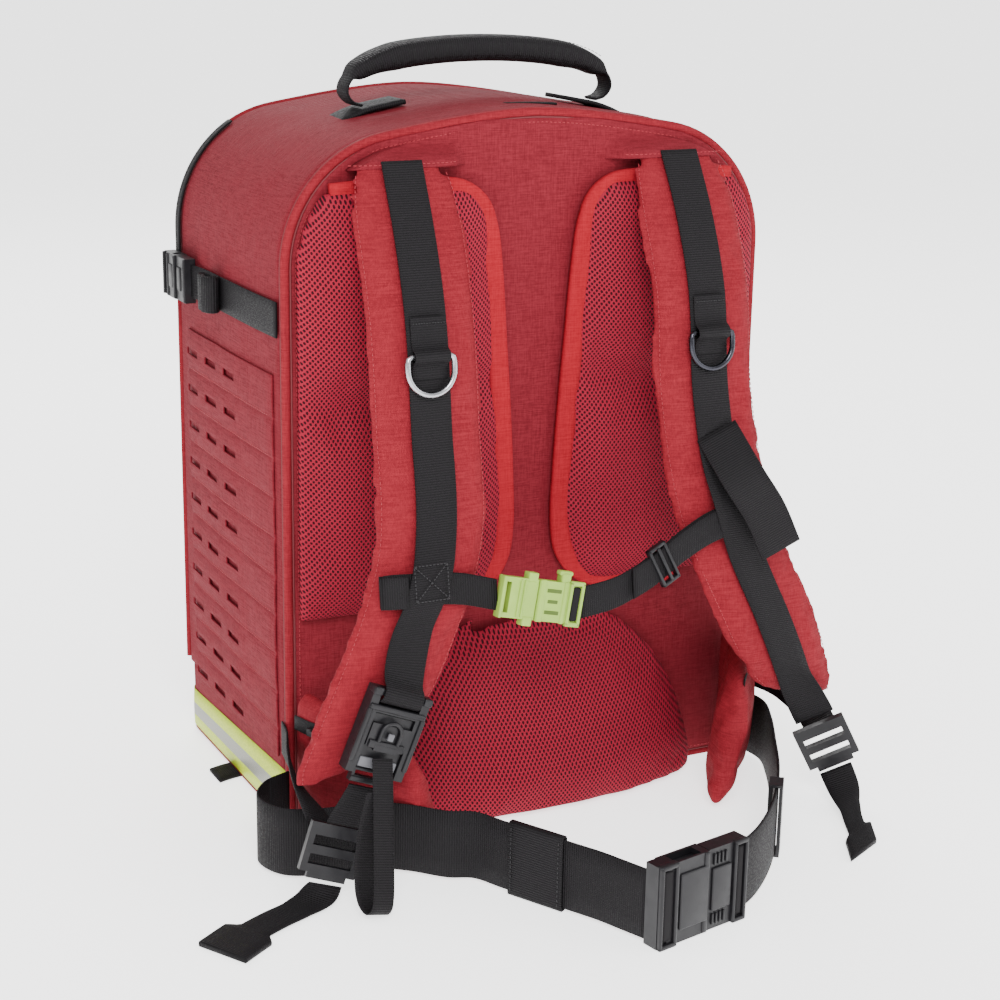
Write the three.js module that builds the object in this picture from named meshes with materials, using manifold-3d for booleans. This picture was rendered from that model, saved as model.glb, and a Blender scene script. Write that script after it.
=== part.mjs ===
// A first responder's trauma backpack, made of its separate sewn and moulded pieces.
// Millimetres, +Z up. The origin is the middle of the flat underside that the bag stands on.
// The harness (shoulder straps, lumbar pad and waist belt) is on the -Y side, the lid on the +Y side.
import * as THREE from "three";
import { mergeVertices } from "three/addons/utils/BufferGeometryUtils.js";
import Module from "manifold-3d";

const wasm = await Module();
wasm.setup();

// ---------- driving dimensions ----------

const BAG_W = 375;
const BAG_D = 225;
const BAG_H = 510;
const HALF_W = BAG_W / 2;
const BACK_Y = -BAG_D / 2;
const FRONT_Y = BAG_D / 2;
const TOP_CORNER = 90; // radius of the two upper corners, seen from the back
const FOOT_CORNER = 14; // radius of the two lower corners
const CORNER_Z = 408; // height of the upper corners' centres
const CORNER_SWEEP = THREE.MathUtils.degToRad(80); // the crown of the top starts here
const PLAN_CORNER = 14; // radius of the base's front corners, seen from above
const WALL = 3; // padded cloth wall
const PANEL = 8; // padded back panel
const GAP = 0.3; // between pieces that touch
const BASE_H = 60; // stiff base tray

const SURROUND = 22.6; // width of the cloth frame round the lid
const LID_FOOT = 62; // lower edge of the lid, where its cloth hinge is
const LID_T = 6;
const POCKET = { halfW: 130, foot: 92, top: 330, depth: 28, wall: 2.5, corner: 18 };

const MOLLE = { back: -93, front: 85, low: 52, high: 334, t: 1.6 };
const SLOT = { rows: 10, pitch: 28.7, first: 317.5, length: 24, height: 5, columns: [72, 31, -10] };
const BAND = { low: 4, high: 42, t: 0.8 };

const WEB = 1.6; // thickness of webbing
const SHOULDER_WEB = 30;
const RING_Z = 357;
const BELT = { width: 50, t: 2, foot: 2.6 };
const BELT_Z = BELT.foot + BELT.width / 2;
const SIDE_STRAP_Z = 374;
const HANDLE = { y: -20, axisZ: 506, halfSpan: 99, top: 551 };

const X = new THREE.Vector3(1, 0, 0);
const Y = new THREE.Vector3(0, 1, 0);
const Z = new THREE.Vector3(0, 0, 1);

// ---------- materials ----------

function finish(color, roughness, metalness = 0) {
  return new THREE.MeshStandardMaterial({ color, roughness, metalness });
}

const CLOTH = finish(0xa8323e, 0.85);
const PAD_CLOTH = finish(0xa83640, 0.85);
const MESH = finish(0x8f2636, 0.95);
const WEBBING = finish(0x323036, 0.8);
const PLASTIC = finish(0x3a393e, 0.45);
const LIME_PLASTIC = finish(0xb9d678, 0.4);
const REFLECTIVE = finish(0xc9d45a, 0.5);
const METAL = finish(0x6a6c70, 0.35, 0.9);
const LINER = finish(0x55585c, 0.9);
const STIFFENER = finish(0xd8d8d2, 0.6);

// ---------- small tools ----------

const bag = new THREE.Group();

function add(name, geometry, material, parent = bag) {
  const mesh = new THREE.Mesh(geometry, material);
  mesh.name = name;
  parent.add(mesh);
  return mesh;
}

// A group whose x runs along the strap and whose z faces out, for a piece of hardware.
function placed(origin, along, outward) {
  const x = along.clone().normalize();
  const y = outward.clone().cross(x).normalize();
  const z = x.clone().cross(y);
  const group = new THREE.Group();
  group.position.copy(origin);
  group.quaternion.setFromRotationMatrix(new THREE.Matrix4().makeBasis(x, y, z));
  bag.add(group);
  return group;
}

function v(x, y, z) {
  return new THREE.Vector3(x, y, z);
}

// A point of the right-hand side put on either side: side is 1 for right and -1 for left.
function on(side, x, y, z) {
  return v(side * x, y, z);
}

function box(x0, x1, y0, y1, z0, z1) {
  const g = new THREE.BoxGeometry(x1 - x0, y1 - y0, z1 - z0);
  return g.translate((x0 + x1) / 2, (y0 + y1) / 2, (z0 + z1) / 2);
}

function solidOf(geometry) {
  const bare = geometry.clone();
  bare.deleteAttribute("normal");
  bare.deleteAttribute("uv");
  const merged = mergeVertices(bare, 1e-4);
  return new wasm.Manifold(
    new wasm.Mesh({
      numProp: 3,
      vertProperties: new Float32Array(merged.attributes.position.array),
      triVerts: new Uint32Array(merged.index.array),
    }),
  );
}

function geometryOf(solid) {
  const mesh = solid.getMesh();
  const points = new Float32Array(mesh.numVert * 3);
  for (let i = 0; i < mesh.numVert; i++) {
    points.set(mesh.vertProperties.subarray(i * mesh.numProp, i * mesh.numProp + 3), i * 3);
  }
  const g = new THREE.BufferGeometry();
  g.setAttribute("position", new THREE.BufferAttribute(points, 3));
  g.setIndex(new THREE.BufferAttribute(mesh.triVerts, 1));
  g.computeVertexNormals();
  return g;
}

function cut(geometry, ...tools) {
  return geometryOf(tools.reduce((left, tool) => left.subtract(solidOf(tool)), solidOf(geometry)));
}

function join(...pieces) {
  return geometryOf(pieces.map(solidOf).reduce((sum, piece) => sum.add(piece)));
}

// Drops points that repeat the one before them.
function distinct(points) {
  return points.filter((p, i) => p.distanceTo(points[(i + points.length - 1) % points.length]) > 1e-3);
}

// A shape drawn in X and Z, made solid from y0 to y1.
function slabXZ(shape, y0, y1, curveSegments = 6) {
  const g = new THREE.ExtrudeGeometry(shape, { depth: y1 - y0, bevelEnabled: false, curveSegments });
  return g.rotateX(Math.PI / 2).translate(0, y1, 0);
}

// A shape drawn in X and Y, made solid from z0 to z1.
function slabXY(shape, z0, z1, curveSegments = 6) {
  const g = new THREE.ExtrudeGeometry(shape, { depth: z1 - z0, bevelEnabled: false, curveSegments });
  return g.translate(0, 0, z0);
}

function roundRectangle(x0, x1, y0, y1, r) {
  const shape = new THREE.Shape();
  shape.absarc(x1 - r, y0 + r, r, -Math.PI / 2, 0);
  shape.absarc(x1 - r, y1 - r, r, 0, Math.PI / 2);
  shape.absarc(x0 + r, y1 - r, r, Math.PI / 2, Math.PI);
  shape.absarc(x0 + r, y0 + r, r, Math.PI, 1.5 * Math.PI);
  return shape;
}

// A closed solid through rings of equally many points, with a flat cap at each end.
function loft(rings) {
  const n = rings[0].length;
  const index = [];
  for (let i = 0; i + 1 < rings.length; i++) {
    for (let j = 0; j < n; j++) {
      const a = i * n + j;
      const b = i * n + ((j + 1) % n);
      index.push(a, b, b + n, a, b + n, a + n);
    }
  }
  const last = (rings.length - 1) * n;
  for (let j = 1; j + 1 < n; j++) {
    index.push(0, j + 1, j, last, last + j, last + j + 1);
  }
  const points = rings.flat();
  if (volume(points, index) < 0) index.reverse();
  const g = new THREE.BufferGeometry().setFromPoints(points);
  g.setIndex(index);
  g.computeVertexNormals();
  return g;
}

function volume(points, index) {
  let sum = 0;
  for (let i = 0; i < index.length; i += 3) {
    const [a, b, c] = [points[index[i]], points[index[i + 1]], points[index[i + 2]]];
    sum += a.dot(b.clone().cross(c));
  }
  return sum;
}

// A smooth run of centre points with the direction across it and the way it faces.
// across is one vector, or one for each point, and faces is a vector that the outside looks towards,
// or null where the run turns back on itself.
function stations(points, across, faces, steps) {
  const curve = new THREE.CatmullRomCurve3(points, false, "centripetal");
  const wide = Array.isArray(across) ? across : points.map(() => across);
  const list = [];
  for (let i = 0; i <= steps; i++) {
    const u = i / steps;
    const t = curve.getUtoTmapping(u) * (points.length - 1);
    const k = Math.min(Math.floor(t), points.length - 2);
    const w = wide[k].clone().lerp(wide[k + 1], t - k).normalize();
    const n = curve.getTangentAt(u).cross(w).normalize();
    if (faces && n.dot(faces) < 0) n.negate();
    list.push({ u, p: curve.getPointAt(u), w, n });
  }
  return list;
}

// A section [[across, out], ...] swept along stations; section may change with u.
function sweep(list, section) {
  return loft(
    list.map(({ u, p, w, n }) =>
      section(u).map(([a, b]) => p.clone().addScaledVector(w, a).addScaledVector(n, b)),
    ),
  );
}

function flatSection(width, t) {
  return [
    [-width / 2, -t / 2],
    [width / 2, -t / 2],
    [width / 2, t / 2],
    [-width / 2, t / 2],
  ];
}

// A soft, flattened oval section of 12 points.
function padSection(halfW, halfT) {
  const list = [];
  for (let k = 0; k < 12; k++) {
    const c = Math.cos((k * Math.PI) / 6);
    const s = Math.sin((k * Math.PI) / 6);
    list.push([halfW * Math.sign(c) * Math.abs(c) ** 0.5, halfT * Math.sign(s) * Math.abs(s) ** 0.5]);
  }
  return list;
}

function ribbon(points, across, faces, width, steps, t = WEB) {
  return sweep(stations(points, across, faces, steps), () => flatSection(width, t));
}

// Straight-line reading of a table of [at, value] pairs.
function readOff(table, at) {
  const k = Math.max(1, table.findIndex(([key]) => key >= at));
  const [a, b] = [table[k - 1], table[k]];
  return a[1] + ((b[1] - a[1]) * (at - a[0])) / (b[0] - a[0]);
}

// ---------- the bag's outline ----------

// Half of the arch over the top, right to left, drawn in from the bag's edge by inset, open at foot.
function archPoints(inset, foot) {
  const half = HALF_W - inset;
  const top = BAG_H - inset;
  const r = TOP_CORNER - inset;
  const cx = HALF_W - TOP_CORNER;
  const endX = cx + r * Math.cos(CORNER_SWEEP);
  const endZ = CORNER_Z + r * Math.sin(CORNER_SWEEP);
  const reach = endX - (top - endZ) * Math.tan(CORNER_SWEEP);
  const path = new THREE.Path();
  path.moveTo(half, foot);
  path.lineTo(half, CORNER_Z);
  path.absarc(cx, CORNER_Z, r, 0, CORNER_SWEEP);
  path.quadraticCurveTo(reach, top, 0, top);
  path.quadraticCurveTo(-reach, top, -endX, endZ);
  path.absarc(-cx, CORNER_Z, r, Math.PI - CORNER_SWEEP, Math.PI);
  path.lineTo(-half, foot);
  return distinct(path.getPoints(6));
}

// The strip between two insets, open at foot.
function archShape(outer, inner, foot) {
  return new THREE.Shape([...archPoints(outer, foot), ...archPoints(inner, foot).reverse()]);
}

// The whole outline, with rounded lower corners.
function outline(inset, foot = inset, corner = FOOT_CORNER) {
  const half = HALF_W - inset;
  const path = new THREE.Path();
  path.absarc(-half + corner, foot + corner, corner, Math.PI, 1.5 * Math.PI);
  path.absarc(half - corner, foot + corner, corner, -Math.PI / 2, 0);
  const foots = path.getPoints(5);
  return distinct([...archPoints(inset, foot + corner), ...foots]);
}

// ---------- the bag itself ----------

function backPanel() {
  add("back_panel", slabXZ(new THREE.Shape(outline(4.3)), BACK_Y, BACK_Y + PANEL), CLOTH);
  const piping = new THREE.Shape(outline(0));
  piping.holes.push(new THREE.Path(outline(4)));
  add("back_piping", slabXZ(piping, BACK_Y, BACK_Y + PANEL), CLOTH);
  const y = BACK_Y + PANEL + GAP;
  add("frame_sheet", slabXZ(new THREE.Shape(outline(14)), y, y + 2), STIFFENER);
}

function gusset() {
  const y0 = BACK_Y + PANEL + GAP;
  const y1 = FRONT_Y - WALL - GAP;
  add("top_panel", slabXZ(archShape(0, WALL, CORNER_Z), y0, y1), CLOTH);
  for (const [name, x] of [
    ["side_panel_left", -HALF_W],
    ["side_panel_right", HALF_W - WALL],
  ]) {
    add(name, box(x, x + WALL, y0, y1, BASE_H + GAP, CORNER_Z - GAP), CLOTH);
  }
  add("front_surround", slabXZ(archShape(0, SURROUND, BASE_H + GAP), FRONT_Y - WALL, FRONT_Y), CLOTH);
}

// The U of the base's wall seen from above, out by grow, open at the back.
function basePlan(grow, backY) {
  const half = HALF_W + grow;
  const front = FRONT_Y + grow;
  const r = PLAN_CORNER + grow;
  const path = new THREE.Path();
  path.moveTo(half, backY);
  path.lineTo(half, front - r);
  path.absarc(half - r, front - r, r, 0, Math.PI / 2);
  path.absarc(-half + r, front - r, r, Math.PI / 2, Math.PI);
  path.lineTo(-half, backY);
  return distinct(path.getPoints(4));
}

function base() {
  const y0 = BACK_Y + PANEL + GAP;
  const block = slabXY(new THREE.Shape(basePlan(0, y0)), 0, BASE_H);
  const room = slabXY(new THREE.Shape(basePlan(-WALL, y0 - 2)), WALL, BASE_H + 2);
  add("base_tray", cut(block, room), CLOTH);
  const outer = basePlan(GAP + BAND.t, y0);
  const inner = basePlan(GAP, y0).reverse();
  const band = new THREE.Shape([...outer, ...inner]);
  add("reflective_band", slabXY(band, BAND.low, BAND.high), REFLECTIVE);
}

function inside() {
  const y0 = BACK_Y + PANEL + 2 * GAP + 2;
  const half = HALF_W - WALL - GAP;
  add("shelf_divider", box(-half, half, y0, 100, 262, 268), LINER);
}

function lid() {
  const y0 = FRONT_Y - LID_T;
  add("front_lid", slabXZ(new THREE.Shape(outline(SURROUND + 0.4, LID_FOOT, 6)), y0, FRONT_Y), CLOTH);
  const { halfW, foot, top, depth, wall, corner } = POCKET;
  const face = FRONT_Y + GAP;
  const full = slabXZ(roundRectangle(-halfW, halfW, foot, top, corner), face, face + depth, 3);
  const hollow = roundRectangle(-halfW + wall, halfW - wall, foot + wall, top + 2, corner - wall);
  const room = slabXZ(hollow, face - 2, face + depth - wall, 3);
  const mouth = box(-halfW - 2, halfW + 2, face - 2, face + depth + 2, top - corner, top + 2);
  add("front_pocket", cut(full, room, mouth), CLOTH);
  const organiser = roundRectangle(-120, 120, 110, 330, 12);
  add("lid_organiser", slabXZ(organiser, y0 - GAP - 2.5, y0 - GAP, 2), LINER);
}

// The two sliders on the straight upright runs of the lid's zip, and their pulls.
function mainZip() {
  const y0 = FRONT_Y + GAP;
  const x = HALF_W - 19.4;
  for (const [name, side] of [
    ["left", -1],
    ["right", 1],
  ]) {
    const slider = box(side * x - 2.6, side * x + 2.6, y0 + 1.3, y0 + 5.5, 388, 402);
    const bridge = box(side * x - 1.6, side * x + 1.6, y0 + 5.4, y0 + 8.4, 390, 399);
    const eye = box(side * x - 3, side * x + 3, y0 + 5.4, y0 + 7, 392, 397);
    add("zip_slider_" + name, cut(join(slider, bridge), eye), METAL);
    const pull = roundRectangle(side * x - 4, side * x + 4, 352, 388.5, 3.5);
    add("zip_pull_" + name, slabXZ(pull, y0 + 5.9, y0 + 8.1, 3), PLASTIC);
  }
}

// ---------- side panels' webbing ----------

function mollePanel(name, side) {
  const middle = side * (HALF_W + GAP + MOLLE.t / 2);
  const plate = (t, y0, y1, z0, z1) => box(middle - t / 2, middle + t / 2, y0, y1, z0, z1);
  const slots = [];
  for (let row = 0; row < SLOT.rows; row++) {
    const z = SLOT.first - row * SLOT.pitch - SLOT.height / 2;
    for (const column of SLOT.columns) {
      const y = column - SLOT.length / 2;
      slots.push(plate(MOLLE.t + 2, y, y + SLOT.length, z, z + SLOT.height));
    }
  }
  const sheet = plate(MOLLE.t, MOLLE.back, MOLLE.front, MOLLE.low, MOLLE.high);
  add(name, cut(sheet, ...slots), CLOTH);
}

function sideStrap(name, side) {
  const x = HALF_W + GAP + WEB / 2;
  const run = [
    [0, -106],
    [0, -60],
    [0, -10],
    [0.2, 34],
    [2.6, 48],
    [5.4, 58],
  ];
  const path = run.map(([lift, y]) => on(side, x + lift, y, SIDE_STRAP_Z));
  const strap = ribbon(path, Z, on(side, 1, 0, 0), 25, 8);
  const middle = side * (x + 8);
  const roll = roundRectangle(middle - 8, middle + 8, -4, 28, 7);
  add("side_strap_" + name, join(strap, slabXY(roll, SIDE_STRAP_Z - 13, SIDE_STRAP_Z + 13, 3)), WEBBING);
  const group = placed(on(side, HALF_W + 8.4, 84, SIDE_STRAP_Z), Y.clone().negate(), on(side, 1, 0, 0));
  sideRelease("side_buckle_" + name, group, { web: 25, half: 24, t: 10 }, PLASTIC);
}

// A side-release buckle. x runs from the socket to the plug, y is across and z faces out.
function sideRelease(name, group, { web, half, t }, material) {
  const w = web / 2 + 4;
  const lip = t / 2 - 2;
  const mouth = half * 0.12;
  const socketBar = box(-half, -half + 9, -w, w, -t / 2 + 1, t / 2 - 1);
  const housing = box(-half + 8, mouth, -w, w, -t / 2, t / 2);
  const webSlot = box(-half + 3, -half + 6.6, -web / 2 - 0.6, web / 2 + 0.6, -t, t);
  const cavity = box(-half + 11, mouth + 1, -w + 4, w - 4, -lip, lip);
  const windows = [-1, 1].map((s) => {
    const y = s * (w - 2);
    return box(-half + 15, mouth - 6, y - 4, y + 4, -lip, lip);
  });
  add(name + "_socket", cut(join(socketBar, housing), webSlot, cavity, ...windows), material, group);
  const plate = box(mouth + 0.6, half, -w, w, -t / 2 + 1, t / 2 - 1);
  const plugSlot = box(half - 6.6, half - 3, -web / 2 - 0.6, web / 2 + 0.6, -t, t);
  const prongT = lip - 0.5;
  const prong = (y) => box(-half + 13, mouth + 2, y - 2.6, y + 2.6, -prongT, prongT);
  const guide = box(-half + 20, mouth + 2, -2.5, 2.5, -prongT, prongT);
  const prongY = w - 4 - 3.2;
  add(name + "_plug", cut(join(plate, prong(prongY), prong(-prongY), guide), plugSlot), material, group);
}

// ---------- back pads ----------

function meshPad(name, side) {
  const corners = [
    [184, 168],
    [184, 448],
    [170, 465],
    [52, 465],
    [38, 452],
    [22, 236],
    [24, 172],
    [40, 158],
    [172, 158],
  ];
  const middle = [104, 312];
  const ring = (y, shrink) =>
    corners.map(([x, z]) => {
      const px = x + (middle[0] - x) * shrink;
      const pz = z + (middle[1] - z) * shrink * 0.5;
      return on(side, px, y, pz);
    });
  const back = BACK_Y - GAP;
  add(name, loft([ring(back, 0), ring(back - 4, 0), ring(back - 11, 0.16)]), MESH);
}

function lumbarPad() {
  const ring = (z) => {
    const half = 142 * Math.sqrt(1 - (z / 156) ** 2);
    const depth = 9 + 48 * (1 - z / 152) ** 1.15;
    const points = [v(-half, BACK_Y - GAP, z), v(half, BACK_Y - GAP, z)];
    for (let k = 0; k <= 8; k++) {
      const a = (k * Math.PI) / 8;
      points.push(v(half * Math.cos(a), BACK_Y - 4 - (depth - 4) * Math.sin(a) ** 0.7, z));
    }
    return points;
  };
  add("lumbar_pad", loft([1, 28, 56, 84, 108, 128, 143, 151].map(ring)), MESH);
}

// The wing's centre line on the right, from its root at the bag to its tip.
const WING = [
  [179, -117.5],
  [171, -142],
  [152, -168],
  [132, -192],
  [119, -212],
];

function hipWing(name, side) {
  const height = [
    [0, 112],
    [0.5, 108],
    [0.8, 92],
    [0.93, 74],
    [1, 46],
  ];
  const list = stations(
    WING.map(([x, y]) => on(side, x, y, 0)),
    Z,
    on(side, 1, -1, 0),
    9,
  );
  for (const s of list) s.p.z = 1 + readOff(height, s.u) / 2;
  add(
    "hip_wing_" + name,
    sweep(list, (u) => padSection(readOff(height, u) / 2, u > 0.95 ? 6 : 10)),
    PAD_CLOTH,
  );
  const from = on(side, 184, -140, 90);
  const along = on(side, -18.5, -28, 0);
  const outward = v(-side * along.y, side * along.x, 0);
  const group = placed(from, along, outward);
  const slider = join(box(2, 11, -2.6, 2.6, 1.3, 5), box(5, 30, -2, 2, 4, 6.5));
  add("wing_slider_" + name, slider, PLASTIC, group);
}

// ---------- shoulder straps ----------

// The middle of the right pad's thickness, from the seam at the top to its lower end.
const PAD_LINE = [
  [108, -118, 484],
  [109, -134, 452],
  [110, -160, 386],
  [110, -172, 310],
  [117, -193, 230],
  [155, -205, 141],
  [187, -199, 80],
];
const PAD_HALF_T = [
  [0, 3.6],
  [0.12, 7],
  [0.3, 8],
  [0.92, 8],
  [1, 6],
];
const OUTWARD = v(0, -1, 0.1);

function padStations(side, steps) {
  const across = PAD_LINE.map((_, i) => on(side, 0.97, 0, i === PAD_LINE.length - 1 ? -0.22 : 0));
  return stations(
    PAD_LINE.map((p) => on(side, ...p)),
    across,
    OUTWARD,
    steps,
  );
}

function shoulderPad(name, side) {
  const halfW = [
    [0, 43],
    [0.88, 43],
    [0.96, 40],
    [1, 32],
  ];
  const section = (u) => padSection(readOff(halfW, u), readOff(PAD_HALF_T, u));
  add("shoulder_pad_" + name, sweep(padStations(side, 16), section), PAD_CLOTH);
}

// Points of the webbing sewn down the pad's outside. It rises a little where the chest strap passes
// under it, and where the ring's keeper sits on it.
function webPath(side, upTo) {
  return padStations(side, 20)
    .filter(({ u }) => u > 0.01 && u < upTo)
    .map(({ u, p, n }) => {
      const crossing = side < 0 ? 206 : 229;
      const under = 5.8 * Math.exp(-(((p.z - crossing) / 24) ** 2));
      return p.clone().addScaledVector(n, readOff(PAD_HALF_T, u) + 0.5 + WEB / 2 + under);
    });
}

// The point of the pad's middle nearest to height z, and the way the pad faces there.
function padSpot(side, z) {
  return padStations(side, 60).reduce((a, b) => (Math.abs(b.p.z - z) < Math.abs(a.p.z - z) ? b : a));
}

// The frame of the ring at rest on the webbing. x runs down the strap, y is across and z faces out.
function ringFrame(side) {
  const { p, n } = padSpot(side, RING_Z);
  const seat = p.clone().addScaledVector(n, 8 + 0.5 + WEB + GAP);
  return placed(seat, v(0, -n.z, n.y), n);
}

// The webbing on each pad, with the loop sewn to it that the ring hangs in. On the right the chest
// strap's free end is sewn to it too.
function shoulderWebbing() {
  const keeper = (side) => {
    const path = [
      v(-15, 0, -0.7),
      v(-8.5, 0, 0.2),
      v(-4.4, 0, 2.6),
      v(-3, 0, 6),
      v(0, 0, 7.3),
      v(3, 0, 6),
      v(4.4, 0, 2.6),
      v(8.5, 0, 0.2),
      v(14, 0, -0.7),
    ];
    const frame = ringFrame(side);
    frame.updateMatrix();
    return ribbon(path, Y, Z, 25, 18, 1.4).applyMatrix4(frame.matrix);
  };
  const left = [...webPath(-1, 0.78), v(-147.8, -217, 145.8)];
  const leftTurn = left.map((_, i) => (i > left.length - 2 ? v(0.925, 0, -0.38) : X));
  const leftWeb = ribbon(left, leftTurn, OUTWARD, SHOULDER_WEB, 22);
  add("shoulder_webbing_left", join(leftWeb, keeper(-1)), WEBBING);
  const right = [...webPath(1, 0.98), v(192.2, -217, 65)];
  const turn = right.map((_, i) => (i > right.length - 2 ? v(0.78, -0.45, 0.44) : X));
  const rightWeb = ribbon(right, turn, OUTWARD, SHOULDER_WEB, 24);
  const { p, n } = padSpot(1, 286);
  const tail = [
    p.clone().addScaledVector(n, 10.5),
    v(120, -213, 258),
    v(136, -219, 232),
    v(148, -224, 204),
  ];
  const free = ribbon(tail, v(0.9, 0, 0.35), OUTWARD, 34, 6, 2);
  add("shoulder_webbing_right", join(rightWeb, keeper(1), free), WEBBING);
}

function dRing(name, side) {
  const group = ringFrame(side);
  const shape = new THREE.Shape();
  shape.moveTo(-2, -19);
  shape.lineTo(9, -19);
  shape.absarc(9, 0, 19, -Math.PI / 2, Math.PI / 2);
  shape.lineTo(-2, 19);
  const hole = new THREE.Path();
  hole.moveTo(2, -14.6);
  hole.lineTo(9, -14.6);
  hole.absarc(9, 0, 14.6, -Math.PI / 2, Math.PI / 2);
  hole.lineTo(2, 14.6);
  shape.holes.push(hole);
  const ring = new THREE.ExtrudeGeometry(shape, { depth: 4, bevelEnabled: false, curveSegments: 9 });
  add("d_ring_" + name, ring.translate(0, 0, 1), METAL, group);
}

// ---------- chest strap ----------

function chestStrap() {
  const tilt = v(0, -0.134, -0.99);
  const left = [
    v(-159, -207.6, 208),
    v(-140, -207.9, 207),
    v(-112, -207.9, 205),
    v(-98, -209, 203),
    v(-88, -212, 200.8),
    v(-79, -215, 198.6),
  ];
  add("chest_strap_left", ribbon(left, tilt, OUTWARD, 24, 10), WEBBING);
  const group = placed(v(-44, -216, 190), v(-0.973, 0, 0.231), v(0, -1, 0.13));
  sideRelease("chest_buckle", group, { web: 20, half: 32, t: 9 }, LIME_PLASTIC);
  const right = [
    v(-10, -215, 182.5),
    v(20, -214, 187),
    v(48, -211, 198),
    v(74, -206.6, 211),
    v(96, -204.8, 221),
    v(118, -204.2, 226),
    v(138, -204.6, 230),
  ];
  add("chest_strap_right", ribbon(right, tilt, OUTWARD, 24, 12), WEBBING);
}

// ---------- left lower strap with its quick-release ----------

function quickRelease() {
  const group = placed(v(-161.5, -215.5, 112), v(-0.38, 0, -0.925), v(0, -1, 0));
  const body = box(-32, 27, -22, 22, 0, 11);
  const webSlot = box(-28, -21, -16, 16, -1, 12);
  const channel = box(-16, 28, -15.5, 15.5, 3, 12);
  add("quick_release_frame", cut(body, webSlot, channel), PLASTIC, group);
  const tongue = box(-15, 34, -15, 15, 3.4, 8.6);
  const lowerSlot = box(25, 29.5, -13, 13, 2, 10);
  add("quick_release_tongue", cut(tongue, lowerSlot), PLASTIC, group);
  add("quick_release_latch", join(box(-9, 7, -15, 15, 9, 12), box(5, 9, -9, 9, 9, 14)), PLASTIC, group);
  const loop = [
    v(-166.5, -229.5, 100),
    v(-170, -239, 74),
    v(-176, -254, 38),
    v(-180, -263, 16),
    v(-182, -264, 8),
    v(-184, -260, 4),
    v(-186, -254, 6),
    v(-187, -249, 14),
    v(-185, -243, 34),
    v(-180, -238, 56),
    v(-173, -236, 80),
  ];
  add("pull_loop", ribbon(loop, v(0.97, 0, -0.2), null, 15, 44, 1.5), WEBBING);
}

function lowerWebbingLeft() {
  const path = [v(-175.5, -221.5, 78), v(-181, -220, 68), v(-187, -218.5, 58), v(-190.5, -218, 51.5)];
  add("quick_release_webbing", ribbon(path, v(0.93, 0, -0.36), v(0, -1, 0), 25, 4), WEBBING);
}

// A ladder-lock: three bars in a frame. x runs down the strap.
function ladderLock(name, group) {
  const plate = box(-17, 17, -20, 20, -2.6, 2.6);
  const slots = [-8.5, 4.5].map((x) => box(x, x + 7, -15.5, 15.5, -4, 4));
  const lip = box(15, 21, -14, 14, -0.6, 2.6);
  add("ladder_lock_" + name, cut(join(plate, lip), ...slots), PLASTIC, group);
}

function ladderLocks() {
  const left = placed(v(-197, -216, 34), v(-0.35, -0.1, -0.93), v(-0.1, -0.99, 0.12));
  ladderLock("left", left);
  const right = placed(v(201, -221, 45), v(0.45, -0.1, -0.89), v(-0.44, -0.89, -0.12));
  ladderLock("right", right);
}

// Webbing from the bag's lower side edge to the back of the ladder-lock.
function anchorWebbing() {
  const left = [
    v(-189.3, -103, 71),
    v(-193, -122, 71),
    v(-202, -155, 70),
    v(-206, -192, 65),
    v(-199, -208.4, 46),
  ];
  const leftTurn = [Z, Z, v(-0.25, 0, 0.95), v(-0.7, 0, 0.7), v(-0.93, 0, 0.36)];
  add("anchor_webbing_left", ribbon(left, leftTurn, v(-1, -0.4, 0), 25, 10), WEBBING);
  const right = [
    v(189.3, -103, 71),
    v(193, -122, 71),
    v(202, -155, 70),
    v(206, -188, 62),
    v(203, -212, 53),
  ];
  const rightTurn = [Z, Z, v(0.25, -0.1, 0.95), v(0.6, -0.25, 0.7), v(0.78, -0.45, 0.44)];
  add("anchor_webbing_right", ribbon(right, rightTurn, v(1, -0.4, 0), 25, 10), WEBBING);
}

// Free webbing ends, folded over and sewn into a wide grip.
function tails() {
  const width = [
    [0, 25],
    [0.66, 25],
    [0.72, 40],
    [1, 40],
  ];
  const thick = [
    [0, WEB],
    [0.66, WEB],
    [0.72, 3.6],
    [1, 3.6],
  ];
  const section = (u) => flatSection(readOff(width, u), readOff(thick, u));
  const left = [
    v(-204.5, -221.5, 12.5),
    v(-213, -225, 6),
    v(-228, -229, 2.6),
    v(-246, -236, 2.4),
    v(-266, -246, 2.4),
    v(-292, -263, 2.4),
  ];
  const leftAcross = [
    v(0.93, 0, -0.36),
    v(0.7, -0.6, -0.2),
    v(0.45, -0.9, 0),
    v(0.45, -0.9, 0),
    v(0.5, -0.87, 0),
    v(0.5, -0.87, 0),
  ];
  add("strap_tail_left", sweep(stations(left, leftAcross, Z, 14), section), WEBBING);
  const right = [
    v(208, -226, 24),
    v(207, -238, 14),
    v(202, -254, 6.5),
    v(194, -270, 3),
    v(185, -288, 2.4),
    v(171, -314, 2.4),
  ];
  const rightAcross = [
    v(0.8, -0.4, 0.4),
    v(0.9, -0.2, 0.2),
    v(0.9, 0.3, 0),
    v(0.9, 0.42, 0),
    v(0.9, 0.45, 0),
    v(0.9, 0.45, 0),
  ];
  add("strap_tail_right", sweep(stations(right, rightAcross, Z, 14), section), WEBBING);
}

// ---------- waist belt ----------

const KEEPER_AT = v(-77, -283, BELT_Z);
const KEEPER_ALONG = v(0.473, -0.881, 0);

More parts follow.
